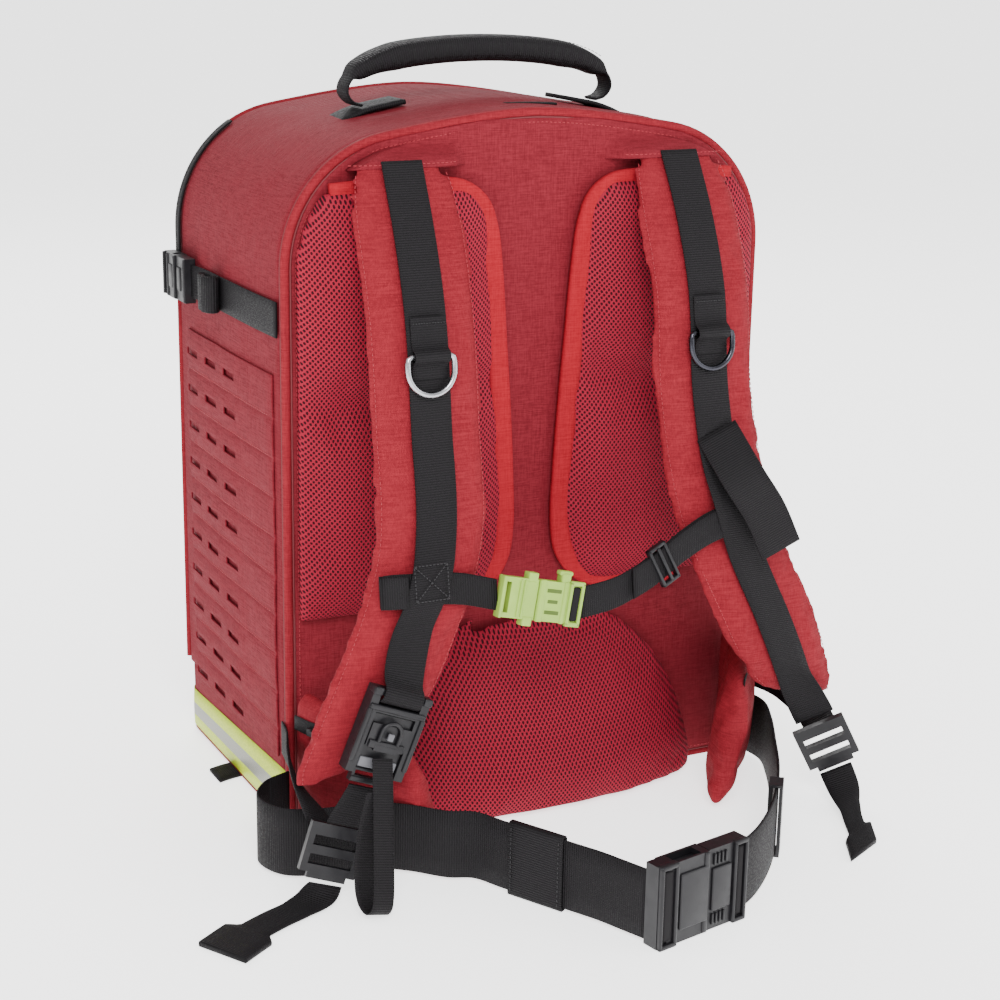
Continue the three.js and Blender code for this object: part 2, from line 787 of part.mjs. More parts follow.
function waistBelt() {
  const along = (d) => KEEPER_AT.clone().addScaledVector(KEEPER_ALONG, d);
  const left = [
    [-192, -121],
    [-212, -130],
    [-226, -152],
    [-218, -178],
    [-190, -190],
    [-162, -192],
    [-138, -208],
    [-117, -229],
  ].map(([x, y]) => v(x, y, BELT_Z));
  left.push(...[-52, -28, 0, 28, 50].map(along));
  left.push(v(-47, -342, BELT_Z), v(-39, -361, BELT_Z));
  add("belt_left", ribbon(left, Z, v(-1, -0.6, 0), BELT.width, 30, BELT.t), WEBBING);
  const right = [
    [39, -353],
    [62, -338],
    [96, -306],
    [130, -262],
    [158, -216],
    [182, -174],
    [194, -146],
    [193, -121],
  ].map(([x, y]) => v(x, y, BELT_Z));
  add("belt_right", ribbon(right, Z, v(1, -0.6, 0), BELT.width, 18, BELT.t), WEBBING);
  const sleeve = box(-22, 22, -27.4, 27.4, -3.4, 3.4);
  const bore = box(-23, 23, -25.6, 25.6, -1.7, 1.7);
  const keeper = placed(KEEPER_AT, KEEPER_ALONG, v(-0.881, -0.473, 0));
  add("belt_keeper", cut(sleeve, bore), WEBBING, keeper);
  const buckle = placed(v(-1, -361, 29.6), v(0.98, 0.196, 0), v(0.196, -0.98, 0));
  sideRelease("waist_buckle", buckle, { web: 50, half: 39, t: 14 }, PLASTIC);
  const glide = placed(v(112, -285.6, BELT_Z), v(0.61, 0.79, 0), v(0.79, -0.61, 0));
  const band = cut(box(-8, 8, -27.4, 27.4, -5, 5), box(-9, 9, -25.6, 25.6, -2.6, 2.6));
  add("belt_adjuster", band, PLASTIC, glide);
}

// ---------- top ----------

function carryHandle() {
  const { y, axisZ, halfSpan, top } = HANDLE;
  const half = [
    v(-halfSpan, y, axisZ),
    v(-halfSpan + 1, y, axisZ + 9),
    v(-halfSpan + 9, y, axisZ + 20),
    v(-66, y, top - 12),
    v(-34, y, top - 3),
  ];
  const path = [...half, v(0, y, top), ...half.map((p) => v(-p.x, p.y, p.z)).reverse()];
  const wide = [
    [0, 4],
    [0.06, 9],
    [0.16, 12],
    [0.3, 14],
    [0.7, 14],
    [0.84, 12],
    [0.94, 9],
    [1, 4],
  ];
  const deep = [
    [0, 2],
    [0.1, 2.6],
    [0.16, 6],
    [0.84, 6],
    [0.9, 2.6],
    [1, 2],
  ];
  const section = (u) => padSection(readOff(wide, u), readOff(deep, u));
  add("carry_handle", sweep(stations(path, Y, Z, 20), section), WEBBING);
}

// ---------- assembly ----------

backPanel();
gusset();
base();
inside();
lid();
mainZip();
lumbarPad();
for (const [name, side] of [
  ["left", -1],
  ["right", 1],
]) {
  mollePanel("molle_panel_" + name, side);
  sideStrap(name, side);
  meshPad("mesh_pad_" + name, side);
  hipWing(name, side);
  shoulderPad(name, side);
  dRing(name, side);
}
shoulderWebbing();
chestStrap();
quickRelease();
lowerWebbingLeft();
ladderLocks();
anchorWebbing();
tails();
waistBelt();
carryHandle();

export default bag;
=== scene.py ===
"""A first responder's trauma backpack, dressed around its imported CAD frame.

Places are worked out in millimetres, as in the CAD source, and turned into metres by the mesh builders.
The harness is on the -Y side, the lid on the +Y side, and the bag stands on z = 0.
"""
import math

import bmesh
import bpy
from mathutils import Matrix, Vector, noise


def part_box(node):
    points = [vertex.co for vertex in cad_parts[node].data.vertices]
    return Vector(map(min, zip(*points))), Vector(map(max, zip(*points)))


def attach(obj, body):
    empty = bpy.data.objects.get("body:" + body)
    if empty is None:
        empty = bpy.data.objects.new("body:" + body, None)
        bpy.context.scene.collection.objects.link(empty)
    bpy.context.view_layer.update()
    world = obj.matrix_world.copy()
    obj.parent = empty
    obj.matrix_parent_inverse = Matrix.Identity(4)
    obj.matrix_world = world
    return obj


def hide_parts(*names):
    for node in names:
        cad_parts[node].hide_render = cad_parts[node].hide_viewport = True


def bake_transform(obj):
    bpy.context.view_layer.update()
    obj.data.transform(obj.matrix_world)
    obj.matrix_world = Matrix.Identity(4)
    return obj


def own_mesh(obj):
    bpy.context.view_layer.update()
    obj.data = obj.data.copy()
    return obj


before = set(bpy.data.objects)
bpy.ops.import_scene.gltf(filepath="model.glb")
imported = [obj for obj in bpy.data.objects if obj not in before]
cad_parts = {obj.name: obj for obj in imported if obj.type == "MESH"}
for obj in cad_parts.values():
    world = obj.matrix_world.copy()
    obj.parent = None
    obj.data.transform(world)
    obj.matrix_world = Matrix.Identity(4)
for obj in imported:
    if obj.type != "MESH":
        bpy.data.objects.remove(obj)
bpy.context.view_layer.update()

MM = 0.001
SIDES = (("left", -1), ("right", 1))

# ---------- driving dimensions, from the frame ----------


def box_mm(node):
    low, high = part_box(node)
    return low / MM, high / MM


PIPING_LOW, PIPING_HIGH = box_mm("back_piping")
HALF_W = PIPING_HIGH.x
BAG_H = PIPING_HIGH.z
BACK_Y = PIPING_LOW.y
FRONT_Y = box_mm("front_lid")[1].y
PANEL_BACK = box_mm("back_panel")[1].y
BASE_H = box_mm("base_tray")[1].z
POCKET_LOW, POCKET_HIGH = box_mm("front_pocket")
MOLLE_LOW, MOLLE_HIGH = box_mm("molle_panel_right")
TOP_CORNER = 90
CORNER_Z = 408
CORNER_SWEEP = math.radians(80)
FOOT_CORNER = 14
WALL = 3
SURROUND = 22.6
WEB = 1.6  # thickness of webbing
GAP = 0.3  # between pieces that touch
LID_FOOT = 62
RING_Z = 357  # height of the rings' bars
SIDE_STRAP_Z = 374
BELT_Z = 27.6
X = Vector((1, 0, 0))
Y = Vector((0, 1, 0))
Z = Vector((0, 0, 1))


# ---------- camera, light and floor ----------

VIEW_AZIMUTH = math.radians(-27.0)
VIEW_PITCH = math.radians(16.06)
VIEW_ROLL = math.radians(1.01)
VIEW_FROM = Vector((-0.66722, -1.37735, 0.63983))
LENS = 73.26


def camera():
    data = bpy.data.cameras.new("camera")
    data.lens = LENS
    data.sensor_width = 36
    obj = bpy.data.objects.new("camera", data)
    bpy.context.scene.collection.objects.link(obj)
    level = math.cos(VIEW_PITCH)
    ahead = Vector((
        -math.sin(VIEW_AZIMUTH) * level,
        math.cos(VIEW_AZIMUTH) * level,
        -math.sin(VIEW_PITCH),
    ))
    flat_right = Vector((math.cos(VIEW_AZIMUTH), math.sin(VIEW_AZIMUTH), 0))
    flat_up = flat_right.cross(ahead)
    right = flat_right * math.cos(VIEW_ROLL) + flat_up * math.sin(VIEW_ROLL)
    up = flat_up * math.cos(VIEW_ROLL) - flat_right * math.sin(VIEW_ROLL)
    turn = Matrix((right, up, -ahead)).transposed().to_4x4()
    obj.matrix_world = Matrix.Translation(VIEW_FROM) @ turn
    bpy.context.scene.camera = obj


def area_light(name, place, target, size, power):
    data = bpy.data.lights.new(name, "AREA")
    data.shape = "DISK"
    data.size = size
    data.energy = power
    obj = bpy.data.objects.new(name, data)
    bpy.context.scene.collection.objects.link(obj)
    obj.location = place
    obj.rotation_euler = (Vector(target) - Vector(place)).to_track_quat("-Z", "Y").to_euler()


def studio():
    world = bpy.data.worlds.new("studio")
    bpy.context.scene.world = world
    world.use_nodes = True
    sky = world.node_tree.nodes["Background"]
    sky.inputs["Color"].default_value = (1, 1, 1, 1)
    sky.inputs["Strength"].default_value = 1.1
    area_light("key", (-0.9, -2.2, 2.0), (0, 0, 0.25), 1.4, 78)
    area_light("fill", (2.2, -1.6, 1.1), (0, 0, 0.25), 1.8, 22)
    area_light("rim", (0.4, 1.9, 2.1), (0, 0, 0.35), 1.6, 46)
    mesh = bpy.data.meshes.new("floor")
    reach = 60
    mesh.from_pydata([(-reach, -reach, 0), (reach, -reach, 0), (reach, reach, 0), (-reach, reach, 0)], [],
                     [(0, 1, 2, 3)])
    floor = bpy.data.objects.new("floor", mesh)
    bpy.context.scene.collection.objects.link(floor)
    pale = Material("floor_paint", (250, 250, 250), roughness=0.8)
    pale.set("Emission Color", (1, 1, 1, 1))
    pale.set("Emission Strength", 1.7)
    mesh.materials.append(pale.material)


# ---------- materials ----------


def linear(rgb):
    """An sRGB colour of 0 to 255 as linear red, green, blue and alpha."""
    values = [c / 255 for c in rgb]
    return (*[v / 12.92 if v <= 0.04045 else ((v + 0.055) / 1.055) ** 2.4 for v in values], 1)


class Material:
    """A Principled material with short calls for the nodes that feed it."""

    def __init__(self, name, rgb, roughness=0.6, **plain):
        self.material = bpy.data.materials.new(name)
        self.material.use_nodes = True
        self.tree = self.material.node_tree
        self.shader = self.tree.nodes["Principled BSDF"]
        self.material.diffuse_color = linear(rgb)
        self.set("Base Color", linear(rgb))
        self.set("Roughness", roughness)
        for name_, value in plain.items():
            self.set(name_.replace("_", " ").title(), value)

    def set(self, socket, value):
        self.shader.inputs[socket].default_value = value

    def feed(self, socket, source):
        self.tree.links.new(source, self.shader.inputs[socket])

    def node(self, kind, inputs=(), **settings):
        made = self.tree.nodes.new(kind)
        for key, value in settings.items():
            setattr(made, key, value)
        for key, value in dict(inputs).items():
            if isinstance(value, bpy.types.NodeSocket):
                self.tree.links.new(value, made.inputs[key])
            else:
                made.inputs[key].default_value = value
        return made

    def place(self):
        """The point on the piece, in metres, in the piece's own frame."""
        return self.node("ShaderNodeTexCoord").outputs["Object"]

    def scaled(self, vector, scale):
        return self.node("ShaderNodeMapping", {"Vector": vector, "Scale": scale}).outputs["Vector"]

    def noise(self, vector, scale, detail=2.0, roughness=0.5):
        made = self.node("ShaderNodeTexNoise", {"Vector": vector, "Scale": scale, "Detail": detail,
                                                "Roughness": roughness})
        return made.outputs["Fac"]

    def math(self, operation, a, b=0.0, c=0.0):
        return self.node("ShaderNodeMath", {0: a, 1: b, 2: c}, operation=operation).outputs[0]

    def add(self, a, b):
        return self.math("ADD", a, b)

    def times(self, a, b):
        return self.math("MULTIPLY", a, b)

    def range(self, value, low, high, to_low=0.0, to_high=1.0, smooth=True):
        made = self.node("ShaderNodeMapRange", {0: value, 1: low, 2: high, 3: to_low, 4: to_high},
                         interpolation_type="SMOOTHSTEP" if smooth else "LINEAR")
        return made.outputs[0]

    def mix(self, share, one, other):
        made = self.node("ShaderNodeMix", {0: share, 6: one, 7: other}, data_type="RGBA")
        return made.outputs[2]

    def bump(self, height, distance, strength=0.6, under=None):
        inputs = {"Height": height, "Distance": distance, "Strength": strength}
        if under is not None:
            inputs["Normal"] = under
        return self.node("ShaderNodeBump", inputs).outputs["Normal"]

    def parts(self, vector):
        made = self.node("ShaderNodeSeparateXYZ", {0: vector})
        return made.outputs[0], made.outputs[1], made.outputs[2]


def cloth(name, deep, pale, thread=0.0007):
    """Heathered, coated nylon: uneven warp and weft threads with a fine square weave."""
    m = Material(name, deep, roughness=0.78)
    at = m.place()
    level = m.noise(m.scaled(at, (70, 70, 1 / thread)), 1, 2)
    flat = m.noise(m.scaled(at, (70, 1 / thread, 70)), 1, 2)
    facing = m.parts(m.node("ShaderNodeTexCoord").outputs["Normal"])[2]
    lying = m.range(m.math("ABSOLUTE", facing), 0.6, 0.8)
    level = m.node("ShaderNodeMix", {0: lying, 2: level, 3: flat}).outputs[0]
    upright = m.noise(m.scaled(at, (1 / thread, 1 / thread, 70)), 1, 2)
    mottle = m.noise(at, 420, 3, 0.65)
    broad = m.noise(at, 9, 2)
    threads = m.add(m.times(level, 0.42), m.times(upright, 0.30))
    threads = m.add(threads, m.times(mottle, 0.28))
    share = m.range(threads, 0.32, 0.68)
    tone = m.mix(share, linear(deep), linear(pale))
    wear = m.range(broad, 0.35, 0.7, 0.0, 0.16)
    m.feed("Base Color", m.mix(wear, tone, linear(pale)))
    m.feed("Roughness", m.range(threads, 0.3, 0.7, 0.86, 0.68))
    x, y, z = m.parts(at)
    turn = 2 * math.pi / (thread * 1.6)
    weave = m.times(m.math("SINE", m.times(m.add(x, y), turn)),
                   m.math("SINE", m.times(z, turn)))
    soft = m.bump(m.noise(at, 36, 3), 0.004, 0.35)
    fine = m.bump(m.add(m.times(weave, 0.35), threads), 0.0005, 0.55, soft)
    m.feed("Normal", fine)
    m.set("Specular IOR Level", 0.12)
    return m.material


def spacer_mesh(name, deep, pale):
    """Open spacer mesh: a staggered grid of round holes between soft ribs."""
    pitch = 0.0034
    m = Material(name, pale, roughness=0.8)
    at = m.place()
    x, y, z = m.parts(at)
    across = m.math("DIVIDE", x, pitch)
    up = m.math("DIVIDE", m.math("SUBTRACT", z, m.times(y, 0.6)), pitch * 1.25)

    def hole(shift):
        u = m.math("SUBTRACT", m.math("FRACT", m.add(across, shift)), 0.5)
        v = m.math("SUBTRACT", m.math("FRACT", m.add(up, shift)), 0.5)
        return m.math("SQRT", m.add(m.times(u, u), m.times(v, v)))

    near = m.math("MINIMUM", hole(0.0), hole(0.5))
    uneven = m.times(m.noise(at, 700, 2), 0.08)
    rib = m.range(m.add(near, uneven), 0.19, 0.31)
    tone = m.mix(m.noise(at, 12, 2), linear(pale), linear([c * 0.86 for c in pale]))
    # painted shade: the holes take the dark colour deep, for the shade inside them, and the ribs take the
    # paler tone
    m.feed("Base Color", m.mix(rib, linear(deep), tone))
    m.feed("Normal", m.bump(rib, 0.0011, 0.9, m.bump(m.noise(at, 40, 2), 0.003, 0.25)))
    m.set("Specular IOR Level", 0.15)
    return m.material


def webbing(name, rgb, rib=0.0017):
    """Woven strap: ribs across it, fine threads along it, and tight edges."""
    m = Material(name, rgb, roughness=0.62)
    strap = m.node("ShaderNodeAttribute", attribute_name="strap").outputs["Vector"]
    across, along, _ = m.parts(strap)
    turn = 2 * math.pi / rib
    ribs = m.math("SINE", m.times(along, turn))
    ends = m.math("SINE", m.times(across, 2 * math.pi / 0.0013))
    fuzz = m.noise(m.scaled(strap, (900, 350, 1)), 1, 2)
    # partly painted highlight: the ribs' sine makes each rib's crest paler and its groove darker; the fuzz
    # noise gives uneven threads
    light = m.add(m.times(ribs, 0.13), m.times(fuzz, 0.95))
    share = m.range(light, 0.25, 0.8)
    deep, pale = linear([c * 0.62 for c in rgb]), linear([min(255, c * 1.5) for c in rgb])
    m.feed("Base Color", m.mix(share, deep, pale))
    m.feed("Roughness", m.range(fuzz, 0.3, 0.7, 0.52, 0.8))
    height = m.add(m.add(ribs, m.times(ends, 0.35)), m.times(fuzz, 0.8))
    m.feed("Normal", m.bump(height, 0.0002, 0.75))
    m.set("Specular IOR Level", 0.15)
    return m.material


def plastic(name, rgb, roughness=0.38):
    """Moulded plastic with a fine spark-eroded grain and rubbed, paler high spots."""
    m = Material(name, rgb, roughness=roughness)
    at = m.place()
    fine = m.noise(at, 1500, 2)
    worn = m.range(m.noise(at, 60, 3), 0.35, 0.9)
    m.feed("Base Color", m.mix(worn, linear(rgb), linear([min(255, c * 1.06 + 3) for c in rgb])))
    m.feed("Roughness", m.range(m.noise(at, 160, 2), 0.3, 0.7, roughness - 0.04, roughness + 0.08))
    m.feed("Normal", m.bump(fine, 0.00006, 0.5))
    m.set("Specular IOR Level", 0.32)
    return m.material


def polished_metal(name, rgb):
    m = Material(name, rgb, roughness=0.24, metallic=1.0)
    at = m.place()
    m.feed("Roughness", m.range(m.noise(m.scaled(at, (1, 1, 8)), 260, 3), 0.3, 0.7, 0.14, 0.34))
    m.feed("Normal", m.bump(m.noise(at, 700, 2), 0.00003, 0.4))
    return m.material


def reflective_tape(name):
    """Lime tape with a silver-grey reflective stripe along its middle, printed in small cells."""
    m = Material(name, (205, 215, 84), roughness=0.42)
    strap = m.node("ShaderNodeAttribute", attribute_name="strap").outputs["Vector"]
    across, along, _ = m.parts(strap)
    m.set("Specular IOR Level", 0.3)
    cell = m.node("ShaderNodeTexVoronoi", {"Vector": m.scaled(strap, (1, 1, 1)), "Scale": 620.0,
                                           "Randomness": 0.25}).outputs["Distance"]
    grain = m.noise(m.place(), 800, 2)
    lime = m.mix(m.range(grain, 0.3, 0.7), linear((160, 182, 14)), linear((186, 202, 40)))
    silver = m.mix(m.range(cell, 0.0, 0.7), linear((132, 132, 122)), linear((100, 101, 94)))
    lower = m.math("GREATER_THAN", across, -0.0075)
    upper = m.math("LESS_THAN", across, 0.0045)
    stripe = m.times(lower, upper)
    m.feed("Base Color", m.mix(stripe, lime, silver))
    edge = m.math("SINE", m.times(along, 2 * math.pi / 0.003))
    m.feed("Normal", m.bump(m.add(m.times(cell, 0.5), m.times(edge, 0.1)), 0.0002, 0.5))
    m.feed("Roughness", m.math("SUBTRACT", 0.5, m.times(stripe, 0.16)))
    return m.material


def thread(name, rgb):
    m = Material(name, rgb, roughness=0.6)
    at = m.place()
    m.feed("Normal", m.bump(m.noise(at, 1800, 2), 0.0001, 0.6))
    m.feed("Base Color", m.mix(m.noise(at, 900, 2), linear(rgb), linear([min(255, c * 1.2) for c in rgb])))
    return m.material


SHELL = cloth("shell_cloth", (92, 17, 26), (122, 31, 42))
PAD = cloth("pad_cloth", (104, 18, 27), (136, 32, 42))
BINDING = cloth("binding_cloth", (132, 17, 28), (160, 26, 38), thread=0.0006)
# painted shade: the first colour is the dark shade painted into the mesh's holes
MESH = spacer_mesh("spacer_mesh", (40, 3, 12), (146, 25, 46))
STRAP = webbing("webbing", (19, 17, 19))
TAPE = webbing("zip_tape", (20, 18, 20), rib=0.0013)
BLACK = plastic("black_plastic", (20, 19, 22))
GREY = plastic("grey_plastic", (88, 88, 92))
LIME = plastic("lime_plastic", (140, 172, 70), roughness=0.36)
# painted shade: a darker copy of the lime plastic, for the shade inside the chest buckle's windows
LIME_PAINTED_SHADE = plastic("lime_painted_shade", (70, 92, 26), roughness=0.5)
# painted highlight: a bright silver copy of the dark ring metal, for the light the left D-ring catches;
# both rings are the same dark metal
RING_METAL_PAINTED_HIGHLIGHT = polished_metal("ring_metal", (172, 172, 176))
DARK_METAL = polished_metal("dark_metal", (60, 60, 66))
BAND = reflective_tape("reflective_tape")
LINING = cloth("lining", (44, 46, 50), (62, 64, 68), thread=0.0009)
SHEET = plastic("frame_plastic", (190, 190, 184), roughness=0.5)
THREAD = thread("red_thread", (132, 24, 36))
SEAM = thread("dark_seam", (84, 12, 20))
BLACK_THREAD = thread("black_thread", (22, 20, 23))


# ---------- mesh tools ----------

PAD_VOXEL = 4.5  # spacing of a pad's cloth before it is filled, in millimetres
PAD_PRESSURE = 4.0
MOST_SWELL = 4.5  # how far the cloth may move while it fills, in millimetres
SWELL_FRAMES = 20
CLOTH_SLACK = 0.05
MESH_SLACK = 0.015


def piece(name, points, faces, material, body, slot, replaces=(), strap=None, more=(), held=None):
    """A mesh through points in millimetres, riding on a body. With held it is first filled as a pad."""
    mesh = bpy.data.meshes.new(name)
    mesh.from_pydata([tuple(p * MM) for p in points], [], faces)
    mesh.materials.append(material)
    for extra in more:
        mesh.materials.append(extra)
    if strap is not None:
        attribute = mesh.attributes.new("strap", "FLOAT_VECTOR", "POINT")
        attribute.data.foreach_set("vector", [c * MM for s in strap for c in s])
    tidy = bmesh.new()
    tidy.from_mesh(mesh)
    bmesh.ops.recalc_face_normals(tidy, faces=tidy.faces)
    for face in tidy.faces:
        face.smooth = True
    tidy.to_mesh(mesh)
    tidy.free()
    obj = bpy.data.objects.new(name, mesh)
    bpy.context.scene.collection.objects.link(obj)
    if held:
        blow_up(obj, held, MESH_SLACK if material is MESH else CLOTH_SLACK)
    if body:
        dress(obj, body, replaces)
    return obj


def settled(obj):
    """The object's mesh with its modifiers worked in, in place of the old one."""
    made = bpy.data.meshes.new_from_object(obj.evaluated_get(bpy.context.evaluated_depsgraph_get()))
    obj.modifiers.clear()
    obj.data = made
    return made


def blow_up(obj, held, slack):
    """Fills a pad as cloth under pressure, held where held(place in mm) says it is sewn down."""
    scene = bpy.context.scene
    scene.frame_set(1)
    material = obj.data.materials[0]
    even = obj.modifiers.new("even", "REMESH")
    even.mode = "VOXEL"
    even.voxel_size = PAD_VOXEL * MM
    settled(obj)
    smooth = obj.modifiers.new("smooth", "SMOOTH")
    smooth.factor = 0.5
    smooth.iterations = 2
    mesh = settled(obj)
    start = [vertex.co.copy() for vertex in mesh.vertices]
    sewn = obj.vertex_groups.new(name="sewn")
    sewn.add([i for i, place in enumerate(start) if held(place / MM)], 1.0, "REPLACE")
    cloth_of = obj.modifiers.new("cloth", "CLOTH")
    fabric = cloth_of.settings
    fabric.quality = 6
    fabric.mass = 0.12
    fabric.tension_stiffness = 14
    fabric.compression_stiffness = 14
    fabric.shear_stiffness = 6
    fabric.bending_stiffness = 0.25
    fabric.use_pressure = True
    fabric.uniform_pressure_force = PAD_PRESSURE
    fabric.shrink_min = -slack
    fabric.vertex_group_mass = "sewn"
    fabric.effector_weights.gravity = 0
    cloth_of.point_cache.frame_start = 1
    cloth_of.point_cache.frame_end = SWELL_FRAMES
    for at in range(1, SWELL_FRAMES + 1):
        scene.frame_set(at)
    mesh = settled(obj)
    scene.frame_set(1)
    for vertex, was in zip(mesh.vertices, start):
        moved = vertex.co - was
        if moved.length > MOST_SWELL * MM:
            vertex.co = was + moved.normalized() * (MOST_SWELL * MM)
    obj.vertex_groups.clear()
    relax = obj.modifiers.new("relax", "SMOOTH")
    relax.factor = 0.5
    relax.iterations = 3
    finer = obj.modifiers.new("finer", "SUBSURF")
    finer.levels = 1
    finer.render_levels = 1
    mesh = settled(obj)
    if not mesh.materials:
        mesh.materials.append(material)
    for polygon in mesh.polygons:
        polygon.use_smooth = True


def dress(obj, body, replaces=()):
    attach(obj, body)
    if replaces:
        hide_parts(*replaces)


def curve_points(points, steps):
    """Centripetal Catmull-Rom through the points: (share of length, place, tangent, control position)."""
    ends = [points[0] * 2 - points[1], *points, points[-1] * 2 - points[-2]]
    dense = []
    per = 24
    for k in range(len(points) - 1):
        p = ends[k:k + 4]
        gap = [max(1e-6, (p[i + 1] - p[i]).length ** 0.5) for i in range(3)]
        t1 = gap[0]
        t2 = t1 + gap[1]
        t3 = t2 + gap[2]
        for i in range(per + (k == len(points) - 2)):
            t = t1 + (t2 - t1) * i / per
            a1 = p[0] * ((t1 - t) / t1) + p[1] * (t / t1)
            a2 = p[1] * ((t2 - t) / (t2 - t1)) + p[2] * ((t - t1) / (t2 - t1))
            a3 = p[2] * ((t3 - t) / (t3 - t2)) + p[3] * ((t - t2) / (t3 - t2))
            b1 = a1 * ((t2 - t) / t2) + a2 * (t / t2)
            b2 = a2 * ((t3 - t) / (t3 - t1)) + a3 * ((t - t1) / (t3 - t1))
            dense.append((b1 * ((t2 - t) / (t2 - t1)) + b2 * ((t - t1) / (t2 - t1)), k + i / per))
    run = [0.0]
    for (a, _), (b, _) in zip(dense, dense[1:]):
        run.append(run[-1] + (b - a).length)
    found = []
    at = 0
    for i in range(steps + 1):
        want = run[-1] * i / steps
        while at < len(run) - 2 and run[at + 1] < want:
            at += 1
        share = (want - run[at]) / max(1e-9, run[at + 1] - run[at])
        place = dense[at][0].lerp(dense[at + 1][0], share)
        control = dense[at][1] + (dense[at + 1][1] - dense[at][1]) * share
        found.append([i / steps, place, (dense[at + 1][0] - dense[at][0]).normalized(), control])
    return found, run[-1]


def stations(points, across, faces, steps):
    """Points along a strap with its direction across and outward, as (share, place, across, out)."""
    points = [Vector(p) for p in points]
    wide = [Vector(a) for a in across] if isinstance(across, list) else [Vector(across)] * len(points)
    found, length = curve_points(points, steps)
    made = []
    for u, place, tangent, control in found:
        k = min(int(control), len(points) - 2)
        w = wide[k].lerp(wide[k + 1], control - k).normalized()
        n = tangent.cross(w).normalized()
        if faces is not None and n.dot(Vector(faces)) < 0:
            n = -n
        made.append((u, place, w, n))
    return made, length


def rings_piece(name, rings, *args, **kwargs):
    """A closed solid through rings of equally many points, with a flat cap at each end."""
    n = len(rings[0])
    faces = []
    for i in range(len(rings) - 1):
        for j in range(n):
            a = i * n + j
            b = i * n + (j + 1) % n
            faces.append((a, b, b + n, a + n))
    last = (len(rings) - 1) * n
    faces.append(tuple(range(n)))
    faces.append(tuple(last + j for j in range(n)))
    points = [p for ring in rings for p in ring]
    return piece(name, points, faces, *args, **kwargs)


def strap_section(width, t):
    """A flat section with slightly rounded edges."""
    half = width / 2
    across = [-half, -half + 0.5, -half * 0.5, 0, half * 0.5, half - 0.5, half]
    top = [(a, t / 2 * (0.1 if abs(a) > half - 0.1 else 1)) for a in across]
    return top + [(a, -b) for a, b in reversed(top)]


def strap(name, points, across, faces, width, body="bag", t=WEB, steps=None, material=None, replaces=(),
          slot="webbing", widths=None):
    """A length of webbing. widths is an optional table of (share, width, thickness)."""
    material = material or STRAP
    rough = sum((Vector(b) - Vector(a)).length for a, b in zip(points, points[1:]))
    made, length = stations(points, across, faces, steps or max(6, int(rough / 5)))
    rings = []
    marks = []
    for u, place, w, n in made:
        wide, thick = (width, t) if widths is None else read_table(widths, u)
        ring = strap_section(wide, thick)
        rings.append([place + w * a + n * b for a, b in ring])
        marks += [(a, u * length, b) for a, b in ring]
    return rings_piece(name, rings, material, body, slot, replaces, strap=marks)


def read_table(table, at):
    """Straight-line reading of rows (at, value, ...)."""
    for low, high in zip(table, table[1:]):
        if at <= high[0]:
            share = (at - low[0]) / (high[0] - low[0])
            values = [a + (b - a) * share for a, b in zip(low[1:], high[1:])]
            return values[0] if len(values) == 1 else values
    return table[-1][1] if len(table[-1]) == 2 else list(table[-1][1:])


def tube(name, points, radius, material, body, slot, steps=None, sides=8, closed=False, replaces=(), up=Z):
    """A round cord along points."""
    points = [Vector(p) for p in points]
    if closed:
        after = points[1:] + points[:1]
        made = [(p, (after[i] - points[i - 1]).normalized()) for i, p in enumerate(points)]
    else:
        found, _ = curve_points(points, steps or 24)
        made = [(place, tangent) for _, place, tangent, _ in found]
    rings = []
    for place, tangent in made:
        side = tangent.cross(up)
        side = side.normalized() if side.length > 1e-4 else tangent.orthogonal().normalized()
        top = side.cross(tangent).normalized()
        rings.append([place + side * (radius * math.cos(a)) + top * (radius * math.sin(a))
                      for a in [2 * math.pi * k / sides for k in range(sides)]])
    if not closed:
        return rings_piece(name, rings, material, body, slot, replaces)
    n = sides
    faces = []
    for i in range(len(rings)):
        j = (i + 1) % len(rings)
        for k in range(n):
            faces.append((i * n + k, i * n + (k + 1) % n, j * n + (k + 1) % n, j * n + k))
    return piece(name, [p for ring in rings for p in ring], faces, material, body, slot, replaces)


def blocks(name, frame_of, boxes, material, body, slot="black_plastic", bevel=0.8, segments=2):
    """Small moulded blocks, each (x0, x1, y0, y1, z0, z1) in the frame of a fitting, as one piece."""
    points = []
    faces = []
    for x0, x1, y0, y1, z0, z1 in boxes:
        start = len(points)
        points += [frame_of @ Vector((x, y, z)) for z in (z0, z1) for y in (y0, y1) for x in (x0, x1)]
        faces += [tuple(start + i for i in face) for face in
                  ((0, 2, 3, 1), (4, 5, 7, 6), (0, 1, 5, 4), (2, 6, 7, 3), (0, 4, 6, 2), (1, 3, 7, 5))]
    obj = piece(name, points, faces, material, body, slot)
    if bevel:
        soften(obj, bevel, segments)
    return obj


def arc_cord(name, frame_of, centre, radius, start, end, z, thick, material, body, tail=0):
    """A raised rib round part of a circle, in the frame of a fitting, with straight tails."""
    turn = [math.radians(start + (end - start) * i / 16) for i in range(17)]
    line = [Vector((centre[0] + radius * math.cos(a), centre[1] + radius * math.sin(a), z)) for a in turn]
    if tail:
        line = [line[0] + X * tail, *line, line[-1] + X * tail]
    up = frame_of.to_3x3() @ Z
    return tube(name, [frame_of @ p for p in line], thick, material, body, "black_plastic", steps=30, up=up)


def grid_faces(rows, cols, start=0):
    return [(start + i * cols + j, start + i * cols + j + 1, start + (i + 1) * cols + j + 1,
             start + (i + 1) * cols + j) for i in range(rows - 1) for j in range(cols - 1)]


def rim(rows, cols):
    """The outer points of a grid, in order round it."""
    there = list(range(cols)) + [i * cols + cols - 1 for i in range(1, rows)]
    back = [(rows - 1) * cols + j for j in range(cols - 2, -1, -1)]
    return there + back + [i * cols for i in range(rows - 2, 0, -1)]


def spread(count, ease=1.6):
    """Shares from 0 to 1, closer together near both ends."""
    found = []
    for i in range(count):
        s = 2 * i / (count - 1) - 1
        found.append(0.5 + 0.5 * math.copysign(1 - (1 - abs(s)) ** ease, s))
    return found


